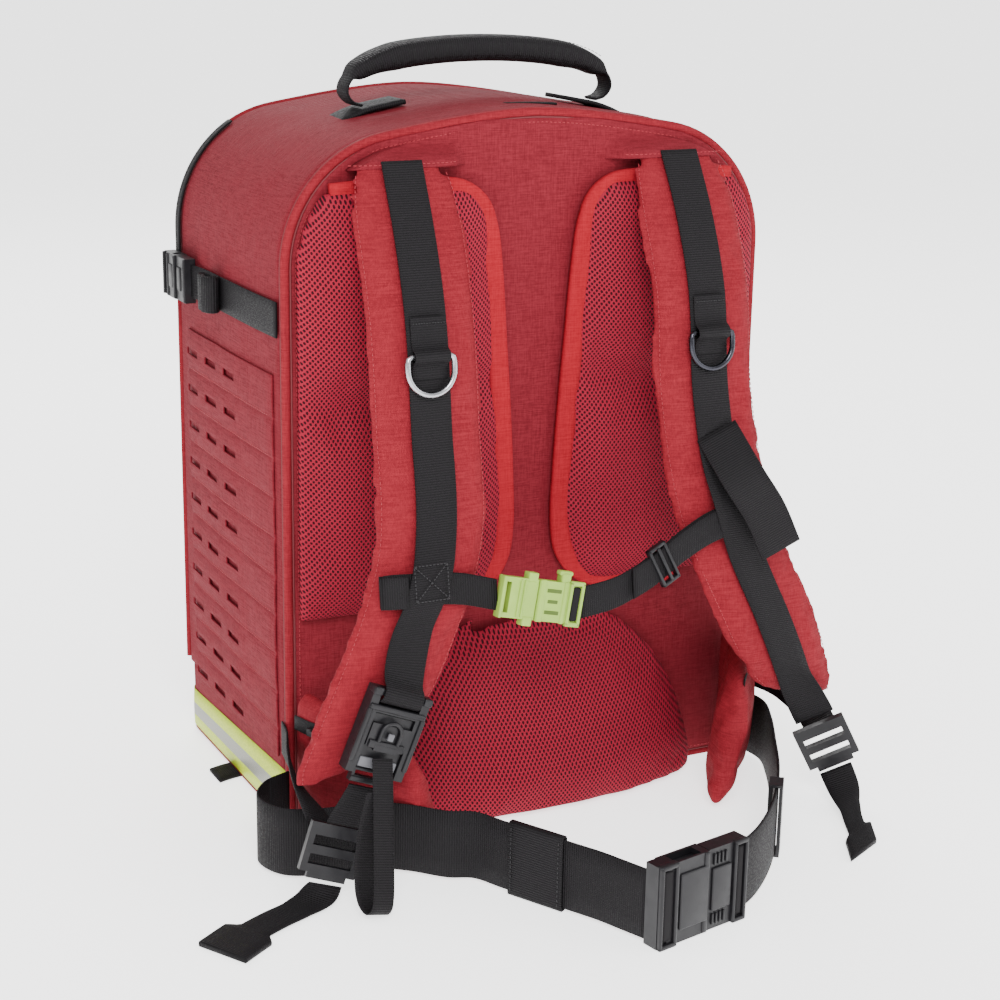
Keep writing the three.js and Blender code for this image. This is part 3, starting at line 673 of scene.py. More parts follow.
def crowned(name, edge, low, high, seat, side, height, material, body, slot, replaces=(), rows=44, cols=30,
            corner=8, held=None):
    """A padded panel that lies on the plane y = seat and stands out from it to side (-1 or 1).
    edge(z) gives its two limits in x, and height(x, z) how far it stands out away from its rolled edges."""
    points = []
    for z in [low + (high - low) * s for s in spread(rows)]:
        x0, x1 = edge(z)
        for s in spread(cols):
            x = x0 + (x1 - x0) * s
            near = min(x - x0, x1 - x, z - low, high - z) if corner else 1
            roll = 1.0
            if near < corner:
                roll = math.sqrt(max(0.0, 1 - (1 - near / corner) ** 2))
            points.append(Vector((x, seat + side * height(x, z) * roll, z)))
    faces = grid_faces(rows, cols)
    faces.append(tuple(rim(rows, cols)))
    return piece(name, points, faces, material, body, slot, replaces, held=held)


def on(side, p):
    """A place worked out for the right side (+1), or its mirror image on the left (-1)."""
    return Vector((side * p[0], p[1], p[2]))


def across_middle(half):
    """A run of points from one side to the middle, carried on to the other side."""
    return half + [on(-1, p) for p in reversed(half[:-1])]


def ripple(x, y, z, size, amount):
    """A gentle, fixed unevenness of cloth."""
    return amount * noise.noise(Vector((x, y, z)) / size)


# ---------- the bag's outline ----------


def crown_of(inset):
    """The outline drawn in by inset: its top, its corner's radius and centre, where the corner ends (x, z),
    and the control point's x of the shallow curve from there to the middle."""
    top = BAG_H - inset
    r = TOP_CORNER - inset
    cx = HALF_W - TOP_CORNER
    end_x = cx + r * math.cos(CORNER_SWEEP)
    end_z = CORNER_Z + r * math.sin(CORNER_SWEEP)
    reach = end_x - (top - end_z) * math.tan(CORNER_SWEEP)
    return top, r, cx, end_x, end_z, reach


def half_width(z, inset=0.0, foot=None, corner=FOOT_CORNER):
    """Half the width of the outline at height z, drawn in by inset."""
    half = HALF_W - inset
    top, r, cx, end_x, end_z, reach = crown_of(inset)
    foot = inset if foot is None else foot
    if z < foot + corner:
        low = max(0.0, foot + corner - z)
        return half - corner + math.sqrt(max(0.0, corner * corner - low * low))
    if z <= CORNER_Z:
        return half
    if z <= end_z:
        return cx + math.sqrt(max(0.0, r * r - (z - CORNER_Z) ** 2))
    s = math.sqrt(max(0.0, (top - z) / (top - end_z)))
    return s * s * end_x + 2 * s * (1 - s) * reach


def arch(inset, foot):
    """Points (x, z, normal x, normal z) from the right foot over the top to the left foot."""
    half = HALF_W - inset
    top, r, cx, end_x, end_z, reach = crown_of(inset)
    upright, bend, crown = 40, 18, 14  # how many points each stretch of the right half gets
    right = [(half, foot + (CORNER_Z - foot) * i / upright) for i in range(upright)]
    right += [(cx + r * math.cos(a), CORNER_Z + r * math.sin(a))
              for a in [CORNER_SWEEP * i / bend for i in range(bend)]]
    for i in range(crown + 1):
        s = 1 - i / crown
        right.append((s * s * end_x + 2 * s * (1 - s) * reach, top - s * s * (top - end_z)))
    every = right + [(-x, z) for x, z in reversed(right[:-1])]
    made = []
    for i, (x, z) in enumerate(every):
        a = every[max(0, i - 1)]
        b = every[min(len(every) - 1, i + 1)]
        run = Vector((b[0] - a[0], b[1] - a[1])).normalized()
        made.append((x, z, run.y, -run.x))
    return made


def outline_loop(inset, y):
    """The whole outline as a closed run of points, with its rounded feet."""
    points = [Vector((x, y, z)) for x, z, _, _ in arch(inset, inset + FOOT_CORNER)]
    half = HALF_W - inset
    for turn, sx in ((math.pi, -1), (1.5 * math.pi, 1)):
        for i in range(1, 7):
            a = turn + 0.5 * math.pi * i / 7
            points.append(Vector((
                sx * (half - FOOT_CORNER) + FOOT_CORNER * math.cos(a),
                y,
                inset + FOOT_CORNER + FOOT_CORNER * math.sin(a),
            )))
        if sx < 0:
            points += [Vector((-half + FOOT_CORNER + (half - FOOT_CORNER) * 2 * i / 12, y, inset))
                       for i in range(0, 13)]
    return points


# ---------- shell ----------


def side_bulge(y, z):
    """How far the cloth of the sides and top stands out between its seams, in millimetres."""
    depth = (y - PANEL_BACK) / (FRONT_Y - PANEL_BACK)
    belly = math.sin(math.pi * min(1, max(0, depth))) ** 0.6
    rise = min(1, max(0, (z - BASE_H) / 60))
    return 2.6 * belly * rise + ripple(0, y, z, 55, 1.1) * belly + ripple(40, y, z, 17, 0.35) * belly


def gusset():
    """One continuous band of cloth up the left side, over the top and down the right side."""
    line = arch(0, BASE_H - 2)
    depths = [PANEL_BACK + 0.4 + (FRONT_Y - 1 - PANEL_BACK) * s for s in spread(34, 1.5)]
    outer = []
    inner = []
    for x, z, nx, nz in line:
        for y in depths:
            edge = min(y - depths[0], depths[-1] - y)
            roll = 1.8 * max(0.0, 1 - edge / 5) ** 2
            out = side_bulge(y, z if abs(nx) > 0.7 else z + x) - roll
            outer.append(Vector((x + nx * out, y, z + nz * out)))
            inner.append(Vector((x - nx * WALL, y, z - nz * WALL)))
    rows, cols = len(line), len(depths)
    count = rows * cols
    skin = grid_faces(rows, cols)
    faces = skin + grid_faces(rows, cols, count)
    border = rim(rows, cols)
    for a, b in zip(border, border[1:] + border[:1]):
        faces.append((a, b, count + b, count + a))
    obj = piece("gusset", outer + inner, faces, SHELL, "bag", "shell_cloth",
                ["top_panel", "side_panel_left", "side_panel_right"], more=(LINING,))
    for face in obj.data.polygons[len(skin):2 * len(skin)]:
        face.material_index = 1


def back_panel():
    """The padded back, pulled in a little along its edge seam and between the two mesh pads."""
    def height(x, z):
        valley = 1.6 * math.exp(-((abs(x) - 178) / 5) ** 2)
        return 8.2 - valley + ripple(x, 3, z, 60, 0.9) + ripple(x, 9, z, 14, 0.25)

    crowned("back_panel_cloth", lambda z: (-half_width(z, 3.4), half_width(z, 3.4)), 3.6, BAG_H - 3.7,
            PANEL_BACK, -1, height, SHELL, "bag", "shell_cloth", ["back_panel"], rows=70, cols=50, corner=4)
    rope = outline_loop(1.6, BACK_Y + 3.2)
    tube("back_piping_cord", rope, 3.3, PAD, "bag", "shell_cloth", closed=True, sides=10,
         replaces=["back_piping"], up=Y)
    for name, inset, y in (("outer", -0.4, BACK_Y + 6.2), ("inner", 5.0, BACK_Y + 1.2)):
        tube("piping_seam_" + name, outline_loop(inset, y), 0.8, SEAM, "bag", "shell_cloth", closed=True,
             sides=6, up=Y)
    for name, side in SIDES:
        top = [(x, z, nx, nz) for x, z, nx, nz in arch(-1.6, BASE_H) if x * side > 0 and 372 < z < 486]
        line = [Vector((x + nx * 1.4, FRONT_Y - 9, z + nz * 1.4)) for x, z, nx, nz in top]
        strap("corner_zip_" + name, line, Y, X * side, 9, t=1.4, steps=40, material=TAPE)
    stitches("back_stitches", outline_loop(8.4, BACK_Y + 0.1), Y * -1, THREAD, closed=True)


def yoke(name, side):
    """The flap at the top of the back that a shoulder strap comes out from under."""
    low, high = 474, 491
    inner = 52

    def height(x, z):
        over = math.exp(-((abs(x) - 106) / 47) ** 6)
        fade = min(1, max(0, (z - low - 4) / 13))
        flush = min(1, max(0, (abs(x) - inner) / 12))
        hump = 13 * over * (1 - fade * fade * (3 - 2 * fade))
        return (1.9 * (1 - 0.9 * fade) + hump) * flush + ripple(x, 5, z, 30, 0.4) * flush

    def edge(z):
        return sorted((side * inner, side * half_width(z, 9.5)))

    crowned("yoke_" + name, edge, low, high, BACK_Y + 0.4, -1, height, SHELL, "bag", "shell_cloth", rows=20,
            cols=48, corner=1.6)
    line = [Vector((side * x, BACK_Y + 0.6 - height(x, low + 4), low + 4)) for x in range(66, 148, 2)]
    stitches("yoke_stitches_" + name, line, -Y, THREAD, slot="shell_cloth")


def stitches(name, points, out, material, closed=False, pitch=3.4, length=2.2, radius=0.32, body="bag",
             slot="webbing"):
    """A run of short raised stitches along points, standing on the side that out gives."""
    points = [Vector(p) for p in points]
    if closed:
        points = points + points[:1]
    run = [0.0]
    for a, b in zip(points, points[1:]):
        run.append(run[-1] + (b - a).length)
    count = int(run[-1] / pitch)
    verts = []
    faces = []
    at = 0
    for k in range(count):
        want = run[-1] * (k + 0.5) / count
        while at < len(run) - 2 and run[at + 1] < want:
            at += 1
        a, b = points[at], points[at + 1]
        if (b - a).length < 1e-6:
            continue
        along = (b - a).normalized()
        middle = a.lerp(b, (want - run[at]) / max(1e-9, run[at + 1] - run[at]))
        wide = along.cross(out).normalized()
        up = wide.cross(along)
        if up.dot(out) < 0:
            up = -up
        start = len(verts)
        for end, lift in ((-0.5, -0.15), (-0.3, 0.75), (0.3, 0.75), (0.5, -0.15)):
            for a_, b_ in ((-1, 0), (0, 1), (1, 0), (0, -1)):
                verts.append(middle + along * (end * length) + wide * (radius * a_)
                             + up * (radius * (b_ * 0.7 + lift)))
        for i in range(3):
            for j in range(4):
                a_, b_ = start + i * 4 + j, start + i * 4 + (j + 1) % 4
                faces.append((a_, b_, b_ + 4, a_ + 4))
        faces.append(tuple(start + j for j in range(4)))
        faces.append(tuple(start + 12 + j for j in range(4)))
    return piece(name, verts, faces, material, body, slot)


def base():
    """The stiff base: a cloth tray, the two-colour band round it and a webbing tab on each side."""
    plan = base_plan()
    levels = [0, 0.6, 2.4, 6, 14, 26, 38, 50, 56, 59, 60]
    outer = []
    inner = []
    for z in levels:
        tuck = 2.2 * max(0.0, 1 - z / 4) ** 2 + 1.2 * max(0.0, (z - 56) / 4) ** 2
        for x, y, nx, ny in plan:
            out = ripple(x, y, z, 40, 0.5) * min(1, z / 8) - tuck
            outer.append(Vector((x + nx * out, y + ny * out, z)))
            inner.append(Vector((x - nx * WALL, y - ny * WALL, max(z, WALL))))
    rows, cols = len(levels), len(plan)
    count = rows * cols
    faces = grid_faces(rows, cols) + grid_faces(rows, cols, count)
    top = [(rows - 1) * cols + j for j in range(cols)]
    faces += [(top[j], top[j + 1], count + top[j + 1], count + top[j]) for j in range(cols - 1)]
    for j in (0, cols - 1):
        for i in range(rows - 1):
            a, b = i * cols + j, (i + 1) * cols + j
            faces.append((a, b, count + b, count + a))
    faces.append(tuple(range(cols)))
    faces.append(tuple(count + j for j in range(cols)))
    faces.append((0, cols - 1, count + cols - 1, count))
    piece("base_cloth", outer + inner, faces, SHELL, "bag", "shell_cloth", ["base_tray"])
    band(plan)
    for name, side in SIDES:
        tab = [(side * 180, 8, 1.9), (side * 190, 7, 1.7), (side * 199, 5, 1.6), (side * 205, 3, 1.5)]
        strap("base_tab_" + name, tab, Y, Z, 25, t=2.4, steps=8)


def base_plan():
    """Points (x, y, normal x, normal y) round the base's wall, from the right back to the left back."""
    corner = 14
    back = PANEL_BACK + GAP
    half = HALF_W
    right = [(half, back + (FRONT_Y - corner - back) * i / 16, 1, 0) for i in range(16)]
    for i in range(8):
        a = 0.5 * math.pi * i / 7
        right.append((half - corner + corner * math.cos(a), FRONT_Y - corner + corner * math.sin(a),
                      math.cos(a), math.sin(a)))
    front = [((half - corner) * (1 - i / 10), FRONT_Y, 0, 1) for i in range(1, 11)]
    every = right + front
    return every + [(-x, y, -nx, ny) for x, y, nx, ny in reversed(every[:-1])]


def band(plan):
    """The reflective band, whose upper edge drops a little from the back to the front."""
    low = 5.5
    rings = []
    marks = []
    run = 0.0
    before = None
    for x, y, nx, ny in plan:
        share = (y - PANEL_BACK) / (FRONT_Y - PANEL_BACK)
        high = 45 - 9 * min(1, share * 1.1)
        if before is not None:
            run += math.hypot(x - before[0], y - before[1])
        before = (x, y)
        ring = []
        for s in (0, 0.25, 0.5, 0.75, 1):
            z = low + (high - low) * s
            ring.append((0.5 + 0.5 * math.sin(math.pi * s), z, s))
        back = [(0.15, z, s) for _, z, s in reversed(ring)]
        rings.append([Vector((x + nx * out, y + ny * out, z)) for out, z, _ in ring + back])
        marks += [((s - 0.5) * 36, run, 0) for _, _, s in ring + back]
    rings_piece("reflective_band_tape", rings, BAND, "bag", "reflective_tape", ["reflective_band"],
                strap=marks)


def molle(name, side):
    """The slotted side panel: laser-cut slots between sewn-down rows."""
    pitch, first, height, length = 28.7, 317.5, 5, 24
    columns = (-10, 31, 72)
    zs = {MOLLE_LOW.z, MOLLE_HIGH.z}
    for row in range(10):
        z = first - row * pitch
        zs |= {z - height / 2, z + height / 2, z - height / 2 - 3, z + height / 2 + 3,
               z - pitch / 2 - 2, z - pitch / 2, z - pitch / 2 + 2}
    ys = {MOLLE_LOW.y, MOLLE_HIGH.y}
    for c in columns:
        ys |= {c - length / 2, c + length / 2, c}
    ys |= {MOLLE_LOW.y + (columns[0] - length / 2 - MOLLE_LOW.y) * i / 6 for i in range(1, 6)}
    zs = sorted(z for z in zs if MOLLE_LOW.z <= z <= MOLLE_HIGH.z)
    ys = sorted(ys)

    def slot_at(y, z):
        in_column = any(abs(y - c) < length / 2 for c in columns)
        in_row = any(abs(z - (first - row * pitch)) < height / 2 for row in range(10))
        return in_column and in_row

    def stand(y, z):
        row = (first - z) / pitch
        near = abs(row - round(row)) * pitch
        lip = 0.9 * math.exp(-((near - 4) / 2.4) ** 2) if y > columns[0] - 16 else 0.0
        return max(0.0, side_bulge(y, z)) + lip - 1.1 * math.exp(-((near - pitch / 2) / 1.8) ** 2)

    points = []
    for out in (1.9, 0.4):
        for z in zs:
            for y in ys:
                points.append(Vector((side * (HALF_W + out + stand(y, z)), y, z)))
    rows, cols = len(zs), len(ys)
    count = rows * cols
    open_cells = {(i, j) for i in range(rows - 1) for j in range(cols - 1)
                  if slot_at((ys[j] + ys[j + 1]) / 2, (zs[i] + zs[i + 1]) / 2)}
    faces = []
    for i in range(rows - 1):
        for j in range(cols - 1):
            if (i, j) in open_cells:
                continue
            a, b, c, d = i * cols + j, i * cols + j + 1, (i + 1) * cols + j + 1, (i + 1) * cols + j
            faces += [(a, b, c, d), (count + a, count + b, count + c, count + d)]
            beside = ((a, b, (i - 1, j)), (b, c, (i, j + 1)), (c, d, (i + 1, j)), (d, a, (i, j - 1)))
            for p, q, cell in beside:
                outside = not (0 <= cell[0] < rows - 1 and 0 <= cell[1] < cols - 1)
                if outside or cell in open_cells:
                    faces.append((p, q, count + q, count + p))
    obj = piece("molle_cloth_" + name, points, faces, SHELL, "bag", "shell_cloth", ["molle_panel_" + name])
    soften(obj, 0.35)
    along = [MOLLE_LOW.y + 8 + (MOLLE_HIGH.y - MOLLE_LOW.y - 16) * k / 30 for k in range(31)]
    for row in range(10):
        z = first - row * pitch + (-pitch / 2 + 1.2)
        if z < MOLLE_LOW.z + 2:
            continue
        line = [Vector((side * (HALF_W + 2.0 + stand(y, z)), y, z)) for y in along]
        stitches(f"molle_stitches_{name}_{row}", line, X * side, THREAD, slot="shell_cloth")


def soften(obj, width, segments=2, angle=35):
    bevel = obj.modifiers.new("soft_edges", "BEVEL")
    bevel.width = width * MM
    bevel.segments = segments
    bevel.limit_method = "ANGLE"
    bevel.angle_limit = math.radians(angle)
    return bevel


def front():
    """The cloth frame round the lid, the zip between them, the lid and its pocket."""
    line = arch(0, BASE_H + 0.4)
    inner = arch(SURROUND, BASE_H + 0.4)
    rings = []
    for (x0, z0, nx, nz), (x1, z1, _, _) in zip(line, inner):
        ring = []
        for s, out in ((0.03, -1.6), (0.1, 0.2), (0.3, 0.8), (0.6, 0.8), (0.9, 0.3), (1.0, -0.8)):
            ring.append(Vector((x0 + (x1 - x0) * s, FRONT_Y + out, z0 + (z1 - z0) * s)))
        ring.append(Vector((x1, FRONT_Y - WALL, z1)))
        ring.append(Vector((x0 - nx * 0.6, FRONT_Y - WALL, z0 - nz * 0.6)))
        rings.append(ring)
    rings_piece("front_surround_cloth", rings, SHELL, "bag", "shell_cloth", ["front_surround"])
    piping = [Vector((x - nx * 0.4, FRONT_Y - 0.6, z - nz * 0.4)) for x, z, nx, nz in line]
    tube("front_piping_cord", piping, 2.4, PAD, "bag", "shell_cloth", steps=150, up=Y)
    zip_tape()
    lid()


def zip_tape():
    """The main zip: two tapes and the coil between them, following the arch."""
    for name, inset, width in (("outer", 15.4, 7), ("inner", 22.9, 7)):
        line = arch(inset, BASE_H + 4)
        body = "bag" if name == "outer" else "lid"
        rings = []
        marks = []
        run = 0.0
        for i, (x, z, nx, nz) in enumerate(line):
            if i:
                run += math.hypot(x - line[i - 1][0], z - line[i - 1][1])
            ring = [(-width / 2, 0.5), (-width / 2, 1.1), (width / 2, 1.1), (width / 2, 0.5)]
            rings.append([Vector((x + nx * a, FRONT_Y + b + 0.3, z + nz * a)) for a, b in ring])
            marks += [(a, run, 0) for a, b in ring]
        rings_piece("zip_tape_" + name, rings, TAPE, body, "webbing", strap=marks)
    teeth("zip_teeth_outer", 18.6, "bag")
    teeth("zip_teeth_inner", 20.0, "lid")


def teeth(name, inset, body):
    """One side of the zip's coil as a row of small teeth."""
    line = [Vector((x, FRONT_Y + 1.7, z)) for x, z, _, _ in arch(inset, BASE_H + 6)]
    stitches(name, line, Y, BLACK, pitch=2.2, length=1.5, radius=0.75, body=body, slot="black_plastic")


def lid():
    """The padded lid that folds down on its foot, with an open-topped pocket and an organiser inside."""
    foot = LID_FOOT
    inset = SURROUND + 0.8

    def height(x, z):
        crown = 1.6 * math.cos(x / 164 * 1.4) * math.sin(math.pi * (z - foot) / 425)
        return 6.2 + crown + ripple(x, 70, z, 50, 1.0)

    def edge(z):
        half = half_width(z, inset, foot, 6)
        return -half, half

    crowned("lid_cloth", edge, foot + 0.2, BAG_H - inset - 0.2, FRONT_Y - 6, 1, height, SHELL, "lid",
            "shell_cloth", ["front_lid"], rows=60, cols=44, corner=3.5)
    flap = [(0, FRONT_Y - 1.2, foot + 5), (0, FRONT_Y + 1.0, foot + 1), (0, FRONT_Y + 1.1, foot - 3),
            (0, FRONT_Y + 0.9, foot - 8)]
    obj = strap("lid_hinge_cloth", flap, X, Y, 320, body=None, t=1.0, steps=14, material=SHELL)
    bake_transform(obj)
    pocket()


def pocket():
    half = POCKET_HIGH.x
    low, high = POCKET_LOW.z, POCKET_HIGH.z
    wall = 2.5
    corner = 18
    depth = POCKET_HIGH.y - FRONT_Y

    def outline_of(inset, y):
        right = [(half - inset, high)]
        right += [(half - inset, low + corner + (high - low - corner) * (1 - i / 14)) for i in range(1, 14)]
        r = corner - inset
        right += [(half - corner + r * math.cos(a), low + corner - r * math.sin(a))
                  for a in [0.5 * math.pi * i / 7 for i in range(8)]]
        right += [((half - corner) * (1 - i / 8), low + inset) for i in range(1, 9)]
        return across_middle([Vector((x, y, z)) for x, z in right])

    steps = [(0, 0.6), (0, depth * 0.4), (0, depth - 5), (0.8, depth - 2), (3, depth - 0.3), (6, depth)]
    rings = [outline_of(inset, FRONT_Y + y) for inset, y in steps]
    n = len(rings[0])
    points = [p for ring in rings for p in ring]
    faces = []
    for i in range(len(rings) - 1):
        faces += [(i * n + j, i * n + j + 1, (i + 1) * n + j + 1, (i + 1) * n + j) for j in range(n - 1)]
    edge = rings[-1]
    cols = 9
    half_n = n // 2
    start = len(points)
    for j in range(half_n + 1):
        a, b = edge[j], edge[n - 1 - j]
        for k in range(1, cols):
            s = k / cols
            p = a.lerp(b, s)
            sag = 1.5 * math.sin(math.pi * s) * min(1, (p.z - low) / 60)
            points.append(Vector((p.x, p.y + sag + ripple(p.x, 77, p.z, 45, 1.2), p.z)))
    base_at = (len(rings) - 1) * n

    def at(j, k):
        if k == 0:
            return base_at + j
        if k == cols:
            return base_at + n - 1 - j
        return start + j * (cols - 1) + k - 1

    for j in range(half_n):
        for k in range(cols):
            cell = (at(j, k), at(j, k + 1), at(j + 1, k + 1), at(j + 1, k))
            cell = tuple(dict.fromkeys(cell))
            if len(cell) > 2:
                faces.append(cell)
    obj = piece("pocket_cloth", points, faces, SHELL, "lid", "shell_cloth", ["front_pocket"])
    wall_of = obj.modifiers.new("wall", "SOLIDIFY")
    wall_of.thickness = wall * MM
    wall_of.offset = -1
    hem = [Vector((half - 1, FRONT_Y + 2, high - 3)), Vector((half - 1.5, FRONT_Y + depth - 4, high - 3)),
           Vector((half - 8, FRONT_Y + depth, high - 3)), Vector((0, FRONT_Y + depth + 1.5, high - 3))]
    strap("pocket_hem", across_middle(hem), Z, Y, 12, body="lid", t=3.6, steps=60, material=BINDING,
          slot="shell_cloth")
    patch = [Vector((0, FRONT_Y + depth + 1.2, 190 + 50 * i / 6)) for i in range(7)]
    strap("pocket_patch", patch, X, Y, 90, body="lid", t=2.2, material=TAPE, slot="webbing")


def carry_over(material, *names, bevel=0.6):
    """Keeps CAD nodes as they are, with rounded edges and a real finish."""
    for name in names:
        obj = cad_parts[name]
        obj.data.materials.clear()
        obj.data.materials.append(material)
        if bevel:
            flat = obj.modifiers.new("flat_faces", "DECIMATE")
            flat.decimate_type = "DISSOLVE"
            flat.angle_limit = math.radians(2)
            soften(obj, bevel, angle=38)


def inside():
    carry_over(SHEET, "frame_sheet", bevel=0.5)
    carry_over(LINING, "shelf_divider", "lid_organiser", bevel=0.8)
    y = box_mm("lid_organiser")[0].y
    for k, z in enumerate((150, 210, 270)):
        line = [Vector((-112 + 224 * i / 20, y - 0.6, z)) for i in range(21)]
        strap(f"organiser_band_{k}", line, Z, -Y, 30, body="lid", t=1.4, material=STRAP)


# ---------- straps and pads of the harness ----------

PAD_LINE = [(108, -118, 484), (109, -134, 452), (110, -160, 386), (110, -172, 310), (117, -193, 230),
            (155, -205, 141), (187, -199, 80)]
PAD_HALF_T = [(0, 3.6), (0.12, 7), (0.3, 8), (0.92, 8), (1, 6)]
PAD_HALF_W = [(0, 35), (0.06, 41), (0.12, 43), (0.88, 43), (0.96, 40), (1, 32)]
OUTWARD = Vector((0, -1, 0.1))


def pad_stations(side, steps):
    line = [on(side, p) for p in PAD_LINE]
    last = len(line) - 1
    across = [Vector((side * 0.97, 0, -0.22 if i == last else 0)) for i in range(len(line))]
    made, _ = stations(line, across, OUTWARD, steps)
    return made


def rounded(value, power):
    """A sine or cosine raised to a power with its sign kept, which squares off a circle."""
    return math.copysign(abs(value) ** power, value)


def oval(half_w, half_t, count=32, square=0.5):
    ring = []
    for k in range(count):
        a = 2 * math.pi * k / count
        c, s = math.cos(a), math.sin(a)
        ring.append((half_w * rounded(c, square), half_t * rounded(s, square)))
    return ring


def shoulder_pad(name, side):
    made = pad_stations(side, 60)
    rings = []
    for u, place, w, n in made:
        half_w, half_t = read_table(PAD_HALF_W, u), read_table(PAD_HALF_T, u)
        ring = []
        for a, b in oval(half_w - 0.6, half_t - 1.2, 40):
            pinch = 1 - 0.62 * math.exp(-((abs(a) - (half_w - 6)) / 2.6) ** 2)
            swell = 1 + 0.05 * noise.noise(Vector((a / 30, u * 9, side * 3)))
            ring.append(place + w * a + n * (b * pinch * swell))
        rings.append(ring)

    def sewn(at):
        u, place, w, n = min(made, key=lambda s: (s[1] - at).length_squared)
        off = abs((at - place).dot(w))
        under_web = off < 16.5 and (at - place).dot(n) > 0
        return under_web or abs(off - (read_table(PAD_HALF_W, u) - 6)) < 2.6 or u < 0.02 or u > 0.985

    obj = rings_piece("shoulder_pad_cloth_" + name, rings, PAD, "bag", "pad_cloth",
                      ["shoulder_pad_" + name], held=sewn)
    for edge in (-1, 1):
        line = []
        for u, place, w, n in pad_stations(side, 90)[3:-1]:
            half_w, half_t = read_table(PAD_HALF_W, u), read_table(PAD_HALF_T, u)
            line.append(place + w * (edge * (half_w - 5.4)) + n * (half_t * 0.46))
        row = "in" if edge * side < 0 else "out"
        stitches(f"pad_stitches_{name}_{row}", line, OUTWARD, THREAD, slot="pad_cloth")


def web_path(side, up_to):
    _, first, _, out = pad_spot(side, 477)
    points = [first + out * 5.8]
    for u, place, _, n in pad_stations(side, 20):
        if 0.04 < u < up_to:
            crossing = CHEST_SEAM[0] if side < 0 else CHEST_SEAM[1]
            under = 5.8 * math.exp(-(((place.z - crossing) / 24) ** 2))
            points.append(place + n * (read_table(PAD_HALF_T, u) + 0.5 + WEB / 2 + under))
    return points


def pad_spot(side, z):
    return min(pad_stations(side, 60), key=lambda s: abs(s[1].z - z))


def placed(origin, along, outward):
    """A frame whose x runs along the strap and whose z faces out."""
    x = Vector(along).normalized()
    y = Vector(outward).cross(x).normalized()
    z = x.cross(y)
    return Matrix.Translation(Vector(origin)) @ Matrix((x, y, z)).transposed().to_4x4()


def ring_frame(side):
    _, p, _, n = pad_spot(side, RING_Z)
    return placed(p + n * (8 + 0.5 + WEB + GAP), (0, -n.z, n.y), n)


def shoulder_webbing():
    keeper = [(-26, 0, 0.5), (-15, 0, 0.6), (-8.5, 0, 1.2), (-5, 0, 3.4), (-3, 0, 6.1), (0, 0, 7.4),
              (3, 0, 6.1), (4.8, 0, 3.0), (8.5, 0, 0.9), (15, 0, 0.5)]
    for name, side in SIDES:
        frame_of = ring_frame(side)
        path = [frame_of @ Vector(p) for p in keeper]
        strap("ring_keeper_" + name, path, X, OUTWARD, 26, t=1.5, steps=40)
        bar = [frame_of @ Vector((-22, y, 1.6)) for y in (-12, 12)]
        stitches("ring_keeper_stitches_" + name, bar, OUTWARD, BLACK_THREAD, pitch=2, length=1.6)
    left = web_path(-1, 0.78)
    over_bar = [(-147.4, -221, 148), (-149, -228, 142.5), (-151.6, -229, 137), (-153, -225, 133.4),
                (-153.4, -219, 132.4)]
    turn = [X] * len(left) + [Vector((0.925, 0, -0.38))] * len(over_bar)
    left += [Vector(p) for p in over_bar]
    strap("shoulder_web_left", left, turn, None, 30, steps=110, replaces=["shoulder_webbing_left"])
    right = web_path(1, 0.98) + [Vector((192.2, -217, 65))]
    turn = [X] * (len(right) - 1) + [Vector((0.78, -0.45, 0.44))]
    strap("shoulder_web_right", right, turn, OUTWARD, 30, steps=100, replaces=["shoulder_webbing_right"])
    cross_stitches()
    _, p, _, n = pad_spot(1, 286)
    tail = [p + n * 10.9, Vector((120, -213, 258)), Vector((136, -219, 232)), Vector((148, -224, 204))]
    strap("chest_strap_tail", tail, (0.9, 0, 0.35), OUTWARD, 34, t=2.2)


def cross_stitches():
    """The stitched box and cross where the chest strap is sewn behind the left webbing."""
    _, p, w, n = pad_spot(-1, CHEST_SEAM[0])
    down = w.cross(n).normalized()
    lift = p + n * 16.6
    box = ((-12, -12), (12, -12), (12, 12), (-12, 12), (-12, -12), (12, 12))
    for name, route in (("one", box), ("two", ((-12, 12), (12, -12)))):
        line = [lift + w * a + down * b for a, b in route]
        stitches("cross_stitches_" + name, line, n, BLACK_THREAD, pitch=2.6, length=1.9, radius=0.42)


def d_ring(name, side):
    """A welded wire ring, its flat side in the webbing loop."""
    frame_of = ring_frame(side)
    half, radius = 17, 2.0
    points = [(0, -half + 3 + (2 * half - 6) * i / 8) for i in range(9)]
    points += [(1.2, half - 0.6), (4, half), (9, half)]
    bend = [math.pi * i / 18 for i in range(1, 18)]
    points += [(9 + half * math.sin(a), half * math.cos(a)) for a in bend]
    points += [(9, -half), (4, -half), (1.2, -half + 0.6)]
    loop = [frame_of @ Vector((x, y, 3)) for x, y in points]
    up = (frame_of.to_3x3() @ Z).normalized()
    # painted highlight: the left ring gets the bright silver copy of the metal, while the right ring keeps
    # the dark metal
    metal = RING_METAL_PAINTED_HIGHLIGHT if side < 0 else DARK_METAL
    tube("d_ring_wire_" + name, loop, radius, metal, "ring_" + name, "ring_metal", closed=True, sides=12,
         replaces=["d_ring_" + name], up=up)


CHEST_TILT = (0, -0.134, -0.99)
CHEST_SEAM = (206, 229)  # heights where the chest strap crosses behind the left and right webbing


